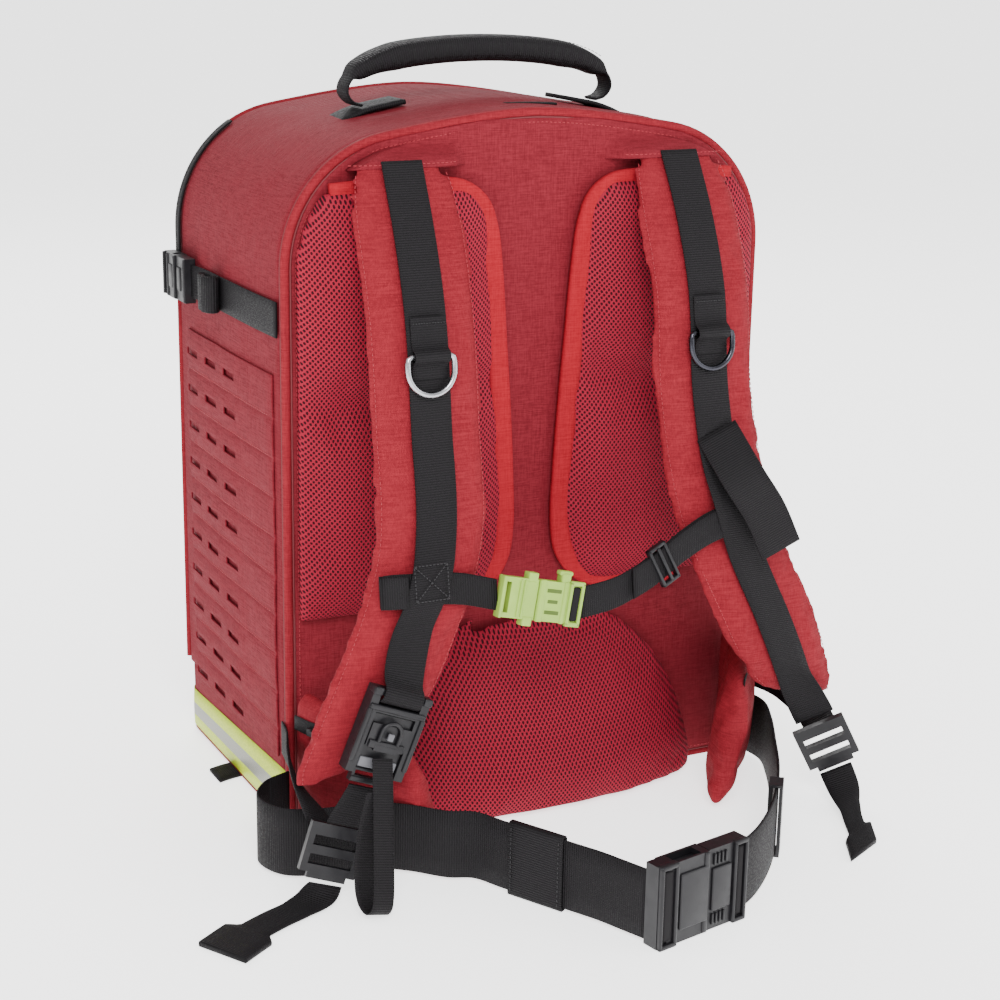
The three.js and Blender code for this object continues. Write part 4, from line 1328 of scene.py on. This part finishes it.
def chest_strap():
    tilt = CHEST_TILT
    left = [(-159, -207.6, 208), (-140, -207.9, 207), (-112, -207.9, 205), (-98, -209, 203),
            (-88, -212, 200.8), (-76, -215.4, 197.8)]
    web = strap("chest_web_left", left, tilt, OUTWARD, 22, replaces=["chest_strap_left"])
    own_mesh(web)
    loop = [(-126, -208.2, 206), (-146, -208.4, 208), (-157, -209, 208.5), (-160.5, -210.4, 208.4),
            (-157, -211.8, 208.3), (-140, -212.4, 207)]
    strap("chest_web_loop", loop, tilt, None, 22, t=1.4)
    right = [(-12, -215, 182.7), (20, -214, 187), (48, -211, 198), (74, -206.6, 211), (96, -204.8, 221),
             (118, -204.2, 226), (138, -204.6, 230)]
    strap("chest_web_right", right, tilt, OUTWARD, 22, replaces=["chest_strap_right"])


def anchors_and_tails():
    left = [(-189.3, -103, 71), (-193, -122, 71), (-202, -155, 70), (-206, -192, 65), (-199, -208.4, 46)]
    turn = [Z, Z, Vector((-0.25, 0, 0.95)), Vector((-0.7, 0, 0.7)), Vector((-0.93, 0, 0.36))]
    strap("anchor_web_left", left, turn, (-1, -0.4, 0), 25, replaces=["anchor_webbing_left"])
    right = [(189.3, -103, 71), (193, -122, 71), (202, -155, 70), (206, -188, 62), (203, -212, 53)]
    turn = [Z, Z, Vector((0.25, -0.1, 0.95)), Vector((0.6, -0.25, 0.7)), Vector((0.78, -0.45, 0.44))]
    strap("anchor_web_right", right, turn, (1, -0.4, 0), 25, replaces=["anchor_webbing_right"])
    widths = [(0, 25, WEB), (0.66, 25, WEB), (0.72, 40, 3.6), (1, 40, 3.6)]
    tail = [(-204.5, -221.5, 12.5), (-213, -225, 6), (-228, -229, 2.6), (-246, -236, 2.4),
            (-266, -246, 2.4), (-292, -263, 2.4)]
    turn = [(0.93, 0, -0.36), (0.7, -0.6, -0.2), (0.45, -0.9, 0), (0.45, -0.9, 0), (0.5, -0.87, 0),
            (0.5, -0.87, 0)]
    strap("tail_left", tail, turn, Z, 25, replaces=["strap_tail_left"], widths=widths, steps=40)
    tail = [(208, -226, 24), (207, -238, 14), (202, -254, 6.5), (194, -270, 3), (185, -288, 2.4),
            (171, -314, 2.4)]
    turn = [(0.8, -0.4, 0.4), (0.9, -0.2, 0.2), (0.9, 0.3, 0), (0.9, 0.42, 0), (0.9, 0.45, 0),
            (0.9, 0.45, 0)]
    strap("tail_right", tail, turn, Z, 25, replaces=["strap_tail_right"], widths=widths, steps=40)


def quick_release():
    """The cam fitting on the left strap: webbing, pull loop and what shows of the moulding."""
    path = [(-175.5, -221.5, 78), (-181, -220, 68), (-187, -218.5, 58), (-190.5, -218, 51.5)]
    web = strap("quick_release_web", path, (0.93, 0, -0.36), (0, -1, 0), 25,
                replaces=["quick_release_webbing"])
    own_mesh(web)
    loop = [(-166.5, -229.5, 100), (-170, -239, 74), (-176, -254, 38), (-180, -263, 16), (-182, -264, 8),
            (-184, -260, 4), (-186, -254, 6), (-187, -249, 14), (-185, -243, 34), (-180, -238, 56),
            (-173, -236, 80)]
    pull = strap("pull_loop_web", loop, (0.97, 0, -0.2), None, 15, body="latch", t=1.5, steps=70,
                 replaces=["pull_loop"])
    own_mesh(pull)
    carry_over(BLACK, "quick_release_frame", "quick_release_tongue", "quick_release_latch")


def waist_belt():
    z = BELT_Z
    keeper_at = Vector((-77, -283, z))
    along = Vector((0.473, -0.881, 0))
    round_hip = ((-192, -121), (-212, -130), (-226, -152), (-218, -178), (-190, -190), (-162, -192),
                 (-138, -208), (-117, -229))
    left = [Vector((x, y, z)) for x, y in round_hip]
    left += [keeper_at + along * d for d in (-52, -28, 0, 28, 50)]
    left += [Vector((-47, -342, z)), Vector((-39, -361, z))]
    strap("belt_web_left", left, Z, (-1, -0.6, 0), 50, t=2, steps=110, replaces=["belt_left"])
    right = [(39, -353, z), (62, -338, z), (96, -306, z), (130, -262, z), (158, -216, z), (182, -174, z),
             (194, -146, z), (193, -121, z)]
    web = strap("belt_web_right", right, Z, (1, -0.6, 0), 50, t=2, steps=70, replaces=["belt_right"])
    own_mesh(web)
    sleeve = placed(keeper_at, along, (-0.881, -0.473, 0))
    turn = [2 * math.pi * i / 24 for i in range(27)]
    ring = [sleeve @ Vector((0, 26.6 * rounded(math.cos(a), 0.3), 2.7 * rounded(math.sin(a), 0.3)))
            for a in turn]
    strap("belt_keeper_sleeve", ring, along, None, 44, body="keeper", t=1.4, steps=130,
          replaces=["belt_keeper"])
    for k, x in enumerate((-19, 19)):
        line = [sleeve @ Vector((x, y, 3.5)) for y in (-24, 0, 24)]
        stitches(f"keeper_stitches_{k}", line, sleeve.to_3x3() @ Z, BLACK_THREAD, body="keeper")
    carry_over(BLACK, "belt_adjuster", bevel=1.2)


def side_strap(name, side):
    x = HALF_W + GAP + WEB / 2
    z = SIDE_STRAP_Z
    run = [(1.6, -104), (3, -60), (3.2, -10), (3.4, 34), (4.2, 48), (6, 60)]
    path = [(side * (x + lift), y, z) for lift, y in run]
    web = strap("side_web_" + name, path, Z, X * side, 25, replaces=["side_strap_" + name])
    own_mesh(web)
    middle = x + 10
    coil = []
    for k in range(60):
        turn = 2 * math.pi * k / 20
        grow = 3.2 + 4.4 * k / 60
        coil.append((side * (middle + 0.85 * grow * math.cos(turn)), 12 + 1.9 * grow * math.sin(turn), z))
    strap("side_roll_" + name, coil, Z, None, 26, t=1.9, steps=120)


def chest_buckle_details():
    """What the chest buckle's moulding shows: a whistle, a strap bar, ribs, windows filled with thin dark
    slabs of painted shade, and rounded ears.
    """
    at = placed((-44, -216, 190), (-0.973, 0, 0.231), (0, -1, 0.13))
    blocks("chest_socket_trim", at, [(-31.5, -29, -15.5, 15.5, 2, 6.2), (-22.5, -20, -15.5, 15.5, 2, 6.2),
                                     (-31.5, -20, -15.8, -12.6, 2, 6.2), (-31.5, -20, 12.6, 15.8, 2, 6.2),
                                     (-19, -15.5, -14.6, 14.6, 2, 5.2), (-1.5, 3.4, -14.6, 14.6, 2, 5.4)],
           LIME, "bag", "lime_plastic", 0.9)
    blocks("chest_whistle", at, [(-20.5, -13, -20.5, -12, -4.2, 4.2), (-22, -11.5, -22, -18.5, -3.4, 3.4)],
           LIME, "bag", "lime_plastic", 1.4, 3)
    blocks("chest_strap_bar", at, [(-28.8, -22.8, -11.8, 11.8, 1.5, 5.6)], STRAP, "bag", "webbing", 1.2)
    # painted shade: thin dark lime slabs stand for the shade inside the windows
    blocks("chest_windows_painted_shade", at, [(-14, -2.6, -8.8, -6.2, 4.0, 4.7), (-14, -2.6, 6.2, 8.8, 4.0, 4.7),
                                 (-12, -4, -1.2, 1.2, 4.0, 4.7)],
           LIME_PAINTED_SHADE, "bag", "lime_plastic", 0.2)
    blocks("chest_plug_trim", at, [(5.5, 13, -18.5, -12, -4, 4), (5.5, 13, 12, 18.5, -4, 4),
                                   (14, 15.6, -13, 13, 3, 4.6), (17.2, 18.8, -13, 13, 3, 4.6),
                                   (30.2, 32.4, -14.5, 14.5, -3, 5)],
           LIME, "chest_plug", "lime_plastic", 1.3, 3)


def waist_buckle_details():
    """The large side-release buckle on the belt: framed strap window, raised body and gripping ribs."""
    at = placed((-1, -361, 29.6), (0.98, 0.196, 0), (0.196, -0.98, 0))
    blocks("waist_socket_trim", at, [(-38.6, -35.8, -29.6, 29.6, 3, 9.4),
                                     (-26.2, -23.2, -29.6, 29.6, 3, 9.4),
                                     (-38.6, -23.2, -29.8, -26.4, 3, 9.4),
                                     (-38.6, -23.2, 26.4, 29.8, 3, 9.4),
                                     (-21, 4, -20, 20, 6, 8.6), (0.2, 4.6, -28.8, 28.8, 5, 8.2)],
           BLACK, "bag", "black_plastic", 1.3, 3)
    blocks("waist_strap_bar", at, [(-35.4, -26.6, -25.2, 25.2, 2, 8)], STRAP, "bag", "webbing", 2.0, 3)
    blocks("waist_plug_trim", at, [(8, 25, -15.5, 15.5, 5, 7.9), (27, 29.4, -29.4, 29.4, 4, 8.8),
                                   (36.6, 39.2, -29.4, 29.4, 4, 8.8), (27, 39.2, -29.6, -26.4, 4, 8.8),
                                   (27, 39.2, 26.4, 29.6, 4, 8.8)],
           BLACK, "waist_plug", "black_plastic", 1.3, 3)
    blocks("waist_plug_bar", at, [(29.8, 36.2, -25.2, 25.2, 2, 7.6)], STRAP, "waist_plug", "webbing",
           2.0, 3)
    for name, y in (("upper", -21.5), ("lower", 21.5)):
        ribs = [(9 + 3.4 * k, 10.6 + 3.4 * k, y - 4, y + 4, 5, 7.6) for k in range(4)]
        blocks("waist_grip_" + name, at, ribs, BLACK, "waist_plug", "black_plastic", 0.5)


def quick_release_details():
    """The cam fitting: ears either side of the webbing slot, a key in a horseshoe window, a grey band."""
    at = placed((-161.5, -215.5, 112), (-0.38, 0, -0.925), (0, -1, 0))
    blocks("release_frame_trim", at, [(-33, -27.6, -22.4, -15.8, 3, 13), (-33, -27.6, 15.8, 22.4, 3, 13),
                                      (-21.4, -17.4, -21.4, 21.4, 7, 12.8),
                                      (-18, 20, -22.3, -18.6, 8, 12.6),
                                      (-18, 20, 18.6, 22.3, 8, 12.6)],
           BLACK, "bag", "black_plastic", 1.2, 3)
    arc_cord("release_horseshoe", at, (-4.4, 0), 7.2, 90, 270, 13.8, 1.5, BLACK, "latch", tail=7)
    blocks("release_key", at, [(-4.6, 0.4, -2.2, 2.2, 13.4, 15.6)], GREY, "latch", "black_plastic", 0.6)
    blocks("release_latch_trim", at, [(2.2, 7.8, -13.6, 13.6, 11.4, 13.8), (7, 9.6, -9, 9, 11, 13.2)],
           BLACK, "latch", "black_plastic", 0.9, 3)
    blocks("release_band", at, [(15.6, 22.6, -14.2, 14.2, 8, 10.4)], GREY, "tongue", "black_plastic",
           0.9, 3)
    blocks("release_tongue_trim", at, [(23.4, 25.6, -15.2, 15.2, 7, 10.2), (30, 33.6, -15.2, 15.2, 7, 9.8)],
           BLACK, "tongue", "black_plastic", 0.9, 3)


def side_buckle_details(name, side):
    at = placed((side * 195.9, 84, SIDE_STRAP_Z), (0, -1, 0), (side, 0, 0))
    blocks("side_socket_trim_" + name, at, [(-23.6, -21.6, -16.2, 16.2, 3, 6.2),
                                            (-14.5, -12.4, -16.2, 16.2, 3, 6.2),
                                            (0, 2.6, -16, 16, 3, 6), (-11, -1.5, -9, 9, 4, 5.8)],
           BLACK, "bag", "black_plastic", 0.8)
    blocks("side_plug_trim_" + name, at, [(6, 14, -9, 9, 3, 5), (21.6, 23.6, -16.2, 16.2, 2, 5.4)],
           BLACK, "side_plug_" + name, "black_plastic", 0.8)


def chest_slider():
    """The slider on the right of the chest strap, and the length of strap that doubles back from it."""
    layer = [(30, -216.2, 191.5), (48, -214.0, 198.3), (74, -209.4, 211.2), (96, -207.8, 221),
             (112, -207.2, 225.5)]
    strap("chest_web_fold", layer, CHEST_TILT, OUTWARD, 22, t=1.8)
    at = placed((56, -212.4, 201.8), (0.9, 0.16, 0.4), (0, -1, 0.13))
    blocks("chest_slider", at, [(-8, -5.6, -15, 15, -2.6, 3), (-1.3, 1.3, -13, 13, 1, 4.2),
                                (5.6, 8, -15, 15, -2.6, 3),
                                (-8, 8, -15, -12.4, -2.6, 3), (-8, 8, 12.4, 15, -2.6, 3)],
           BLACK, "bag", "black_plastic", 0.8)


PLASTIC_NODES = ["side_buckle_left_socket", "side_buckle_left_plug", "side_buckle_right_socket",
                 "side_buckle_right_plug", "waist_buckle_socket", "waist_buckle_plug",
                 "ladder_lock_left", "ladder_lock_right", "wing_slider_left", "wing_slider_right",
                 "zip_pull_left", "zip_pull_right"]


# ---------- mesh pads, lumbar pad and hip wings ----------

MESH_INNER = [(158, 66), (165, 45), (176, 34), (190, 27.5), (212, 23), (230, 22), (335, 29), (440, 37),
              (452, 44), (465, 60)]  # a mesh pad's inner edge, as (height, distance from the middle)


def mesh_pad(name, side):
    """A padded panel of spacer mesh with a fold across its middle, bound along its top and inner edges."""
    low, high = 159, 464

    def inner(z):
        return read_table(MESH_INNER, z)

    def edge(z):
        outer = min(183.5, half_width(z, 4.5)) - 6 * max(0, (z - 450) / 14) ** 2
        return sorted((side * inner(z), side * outer))

    def fold_at(x, z):
        across = (abs(x) - inner(z)) / (184 - inner(z))
        return 326 - 12 * math.sin(2.6 * across), across

    def height(x, z):
        fold_z, across = fold_at(x, z)
        share = 0.5 + 0.5 * math.sin(math.pi * min(1, across * 1.15))
        fold = 7.2 * math.exp(-((z - fold_z) / 9) ** 2) * share
        return 12.4 - fold + 1.4 * math.sin(math.pi * across) + ripple(x, 20 + side, z, 34, 1.3)

    def sewn(at):
        fold_z, _ = fold_at(at.x, at.z)
        near = min(abs(at.x) - inner(at.z), half_width(at.z, 4.5) - abs(at.x), at.z - low, high - at.z)
        return at.y > BACK_Y - 3 or abs(at.z - fold_z) < 3 or near < 5

    obj = crowned("mesh_pad_cloth_" + name, edge, low, high, BACK_Y - 0.1, -1, height, MESH, "bag",
                  "spacer_mesh", ["mesh_pad_" + name], rows=64, cols=36, corner=16, held=sewn)
    path = [(157, 459), (130, 460.5), (90, 460.5), (60, 458), (46, 448), (39.5, 432), (35, 400), (31, 350),
            (27, 300), (24, 250), (23, 215), (27, 190), (42, 171), (70, 162), (100, 159.5), (124, 159)]
    line = [Vector((side * x, BACK_Y - 6.4, z)) for x, z in path]
    turn = []
    for i in range(len(line)):
        run = (line[min(i + 1, len(line) - 1)] - line[max(i - 1, 0)]).normalized()
        turn.append(run.cross(Y).normalized())
    for i in range(1, len(turn)):
        if turn[i].dot(turn[i - 1]) < 0:
            turn[i] = -turn[i]
    widths = [(0, 15, 5), (0.5, 15, 5.5), (1, 15, 5)]
    strap("pad_binding_" + name, line, turn, -Y, 15, t=5, steps=90, material=BINDING, slot="shell_cloth",
          widths=widths)


def lumbar_pad():
    """The arched mesh pad that rests on the wearer's lower back."""
    rows, cols = 26, 40
    points = []
    for i in range(rows):
        z = 1.2 + 148 * (i / (rows - 1)) ** 0.9
        half = 141 * math.sqrt(max(0.0, 1 - (z / 156) ** 2))
        depth = (9 + 48 * (1 - z / 152) ** 1.15) * (1 - 0.12 * math.exp(-(z / 7) ** 2))
        for k in range(cols + 1):
            a = k * math.pi / cols
            out = BACK_Y - 2 - (depth - 3) * math.sin(a) ** 0.7
            soft = ripple(half * math.cos(a), out, z, 40, 1.6) * math.sin(a)
            points.append(Vector((half * math.cos(a), out + soft, z)))
    faces = grid_faces(rows, cols + 1)
    faces.append(tuple(rim(rows, cols + 1)))
    obj = piece("lumbar_cloth", points, faces, MESH, "bag", "spacer_mesh", ["lumbar_pad"],
                held=lambda at: at.y > BACK_Y - 8 or at.z < 5)


WING = [(179, -117.5), (171, -142), (152, -168), (132, -192), (119, -212)]
WING_HEIGHT = [(0, 112), (0.5, 108), (0.8, 92), (0.93, 74), (1, 46)]


def hip_wing(name, side):
    """A padded wing that wraps the hip, with a zipped pocket along its outside."""
    made, _ = stations([on(side, (x, y, 0)) for x, y in WING], Z, Vector((side, -1, 0)), 30)
    rings = []
    for u, p, w, n in made:
        half = read_table(WING_HEIGHT, u) / 2
        thick = 9.4 if u < 0.93 else 9.4 - 4 * (u - 0.93) / 0.07
        middle = Vector((p.x, p.y, 1.4 + half))
        ring = []
        for a, b in oval(half - 0.5, thick):
            pinch = 1 - 0.5 * math.exp(-((abs(a) - (half - 5)) / 2.5) ** 2)
            lean = 8 * u * a / half
            ring.append(middle + w * a + n * (b * pinch + lean + ripple(a, u * 60, side, 26, 0.7)))
        rings.append(ring)

    def sewn(at):
        u, p, _, _ = min(made, key=lambda s: (s[1].x - at.x) ** 2 + (s[1].y - at.y) ** 2)
        half = read_table(WING_HEIGHT, u) / 2
        by_zip = abs(at.z - 91) < 10 and at.x * side > p.x * side
        return by_zip or abs(abs(at.z - 1.4 - half) - (half - 5)) < 2.6 or u < 0.05

    obj = rings_piece("hip_wing_cloth_" + name, rings, PAD, "bag", "pad_cloth", ["hip_wing_" + name],
                      held=sewn)
    line = [p + n * 10.0 + Z * 90 for u, p, w, n in made if 0.02 < u < 0.8]
    strap("wing_zip_" + name, line, Z, Vector((side, -1, 0)), 11, t=1.2, material=TAPE)


# ---------- top ----------


def carry_handle():
    """A padded tube of webbing that narrows at its ends to the straps sewn to the bag's top."""
    y, top = -20, 546.5
    rise = ((-95, 508), (-101.5, 510), (-106.5, 517), (-103.5, 526), (-88, 535.5), (-66, 541.5),
            (-34, top - 1.2))
    half = [Vector((x, y, z)) for x, z in rise]
    path = across_middle(half + [Vector((0, y, top))])
    wide = [(0, 10), (0.1, 10.5), (0.15, 13), (0.24, 14.5), (0.76, 14.5), (0.85, 13), (0.9, 10.5), (1, 10)]
    deep = [(0, 1.3), (0.1, 1.5), (0.125, 6.5), (0.24, 9.6), (0.76, 9.6), (0.875, 6.5), (0.9, 1.5),
            (1, 1.3)]
    made, length = stations(path, Y, None, 90)
    rings = []
    marks = []
    for u, place, w, n in made:
        ring = oval(read_table(wide, u), read_table(deep, u), 24, 0.7)
        rings.append([place + w * a + n * b for a, b in ring])
        marks += [(a, u * length, b) for a, b in ring]
    obj = rings_piece("handle_pad", rings, STRAP, None, "webbing", strap=marks)
    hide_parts("carry_handle")
    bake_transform(obj)
    seam = [place - w * (read_table(wide, u) - 1.5) + n * read_table(deep, u) * 0.75
            for u, place, w, n in made if 0.14 < u < 0.86]
    line = [Vector((p.x, -34.2, p.z + 1.5)) for p in seam]
    stitches("handle_stitches", line, Vector((0, -1, 0.6)).normalized(), BLACK_THREAD, body="handle")
    for name, side in SIDES:
        feet = [(side * 132, y, 482.5), (side * 122, y, 491.5), (side * 108, y, 499.2), (side * 92, y, 505),
                (side * 74, y, 508.6), (side * 64, y, 510.4)]
        strap("handle_anchor_" + name, feet, Y, Z, 30, t=3.2, steps=30)
    slit = [(-4 + 36 * i / 8, -72 - 8 * i / 8, 510.6 + 0.4 * math.sin(math.pi * i / 8)) for i in range(9)]
    strap("top_slit", slit, Y, Z, 7, t=1.8, material=TAPE)


camera()
studio()
back_panel()
gusset()
base()
front()
inside()
lumbar_pad()
for name_of, side_of in SIDES:
    molle(name_of, side_of)
    side_strap(name_of, side_of)
    side_buckle_details(name_of, side_of)
    yoke(name_of, side_of)
    mesh_pad(name_of, side_of)
    hip_wing(name_of, side_of)
    shoulder_pad(name_of, side_of)
    d_ring(name_of, side_of)
shoulder_webbing()
chest_strap()
anchors_and_tails()
quick_release()
waist_belt()
carry_handle()
carry_over(BLACK, *PLASTIC_NODES)
carry_over(LIME, "chest_buckle_socket", "chest_buckle_plug")
chest_buckle_details()
chest_slider()
waist_buckle_details()
quick_release_details()
carry_over(DARK_METAL, "zip_slider_left", "zip_slider_right")
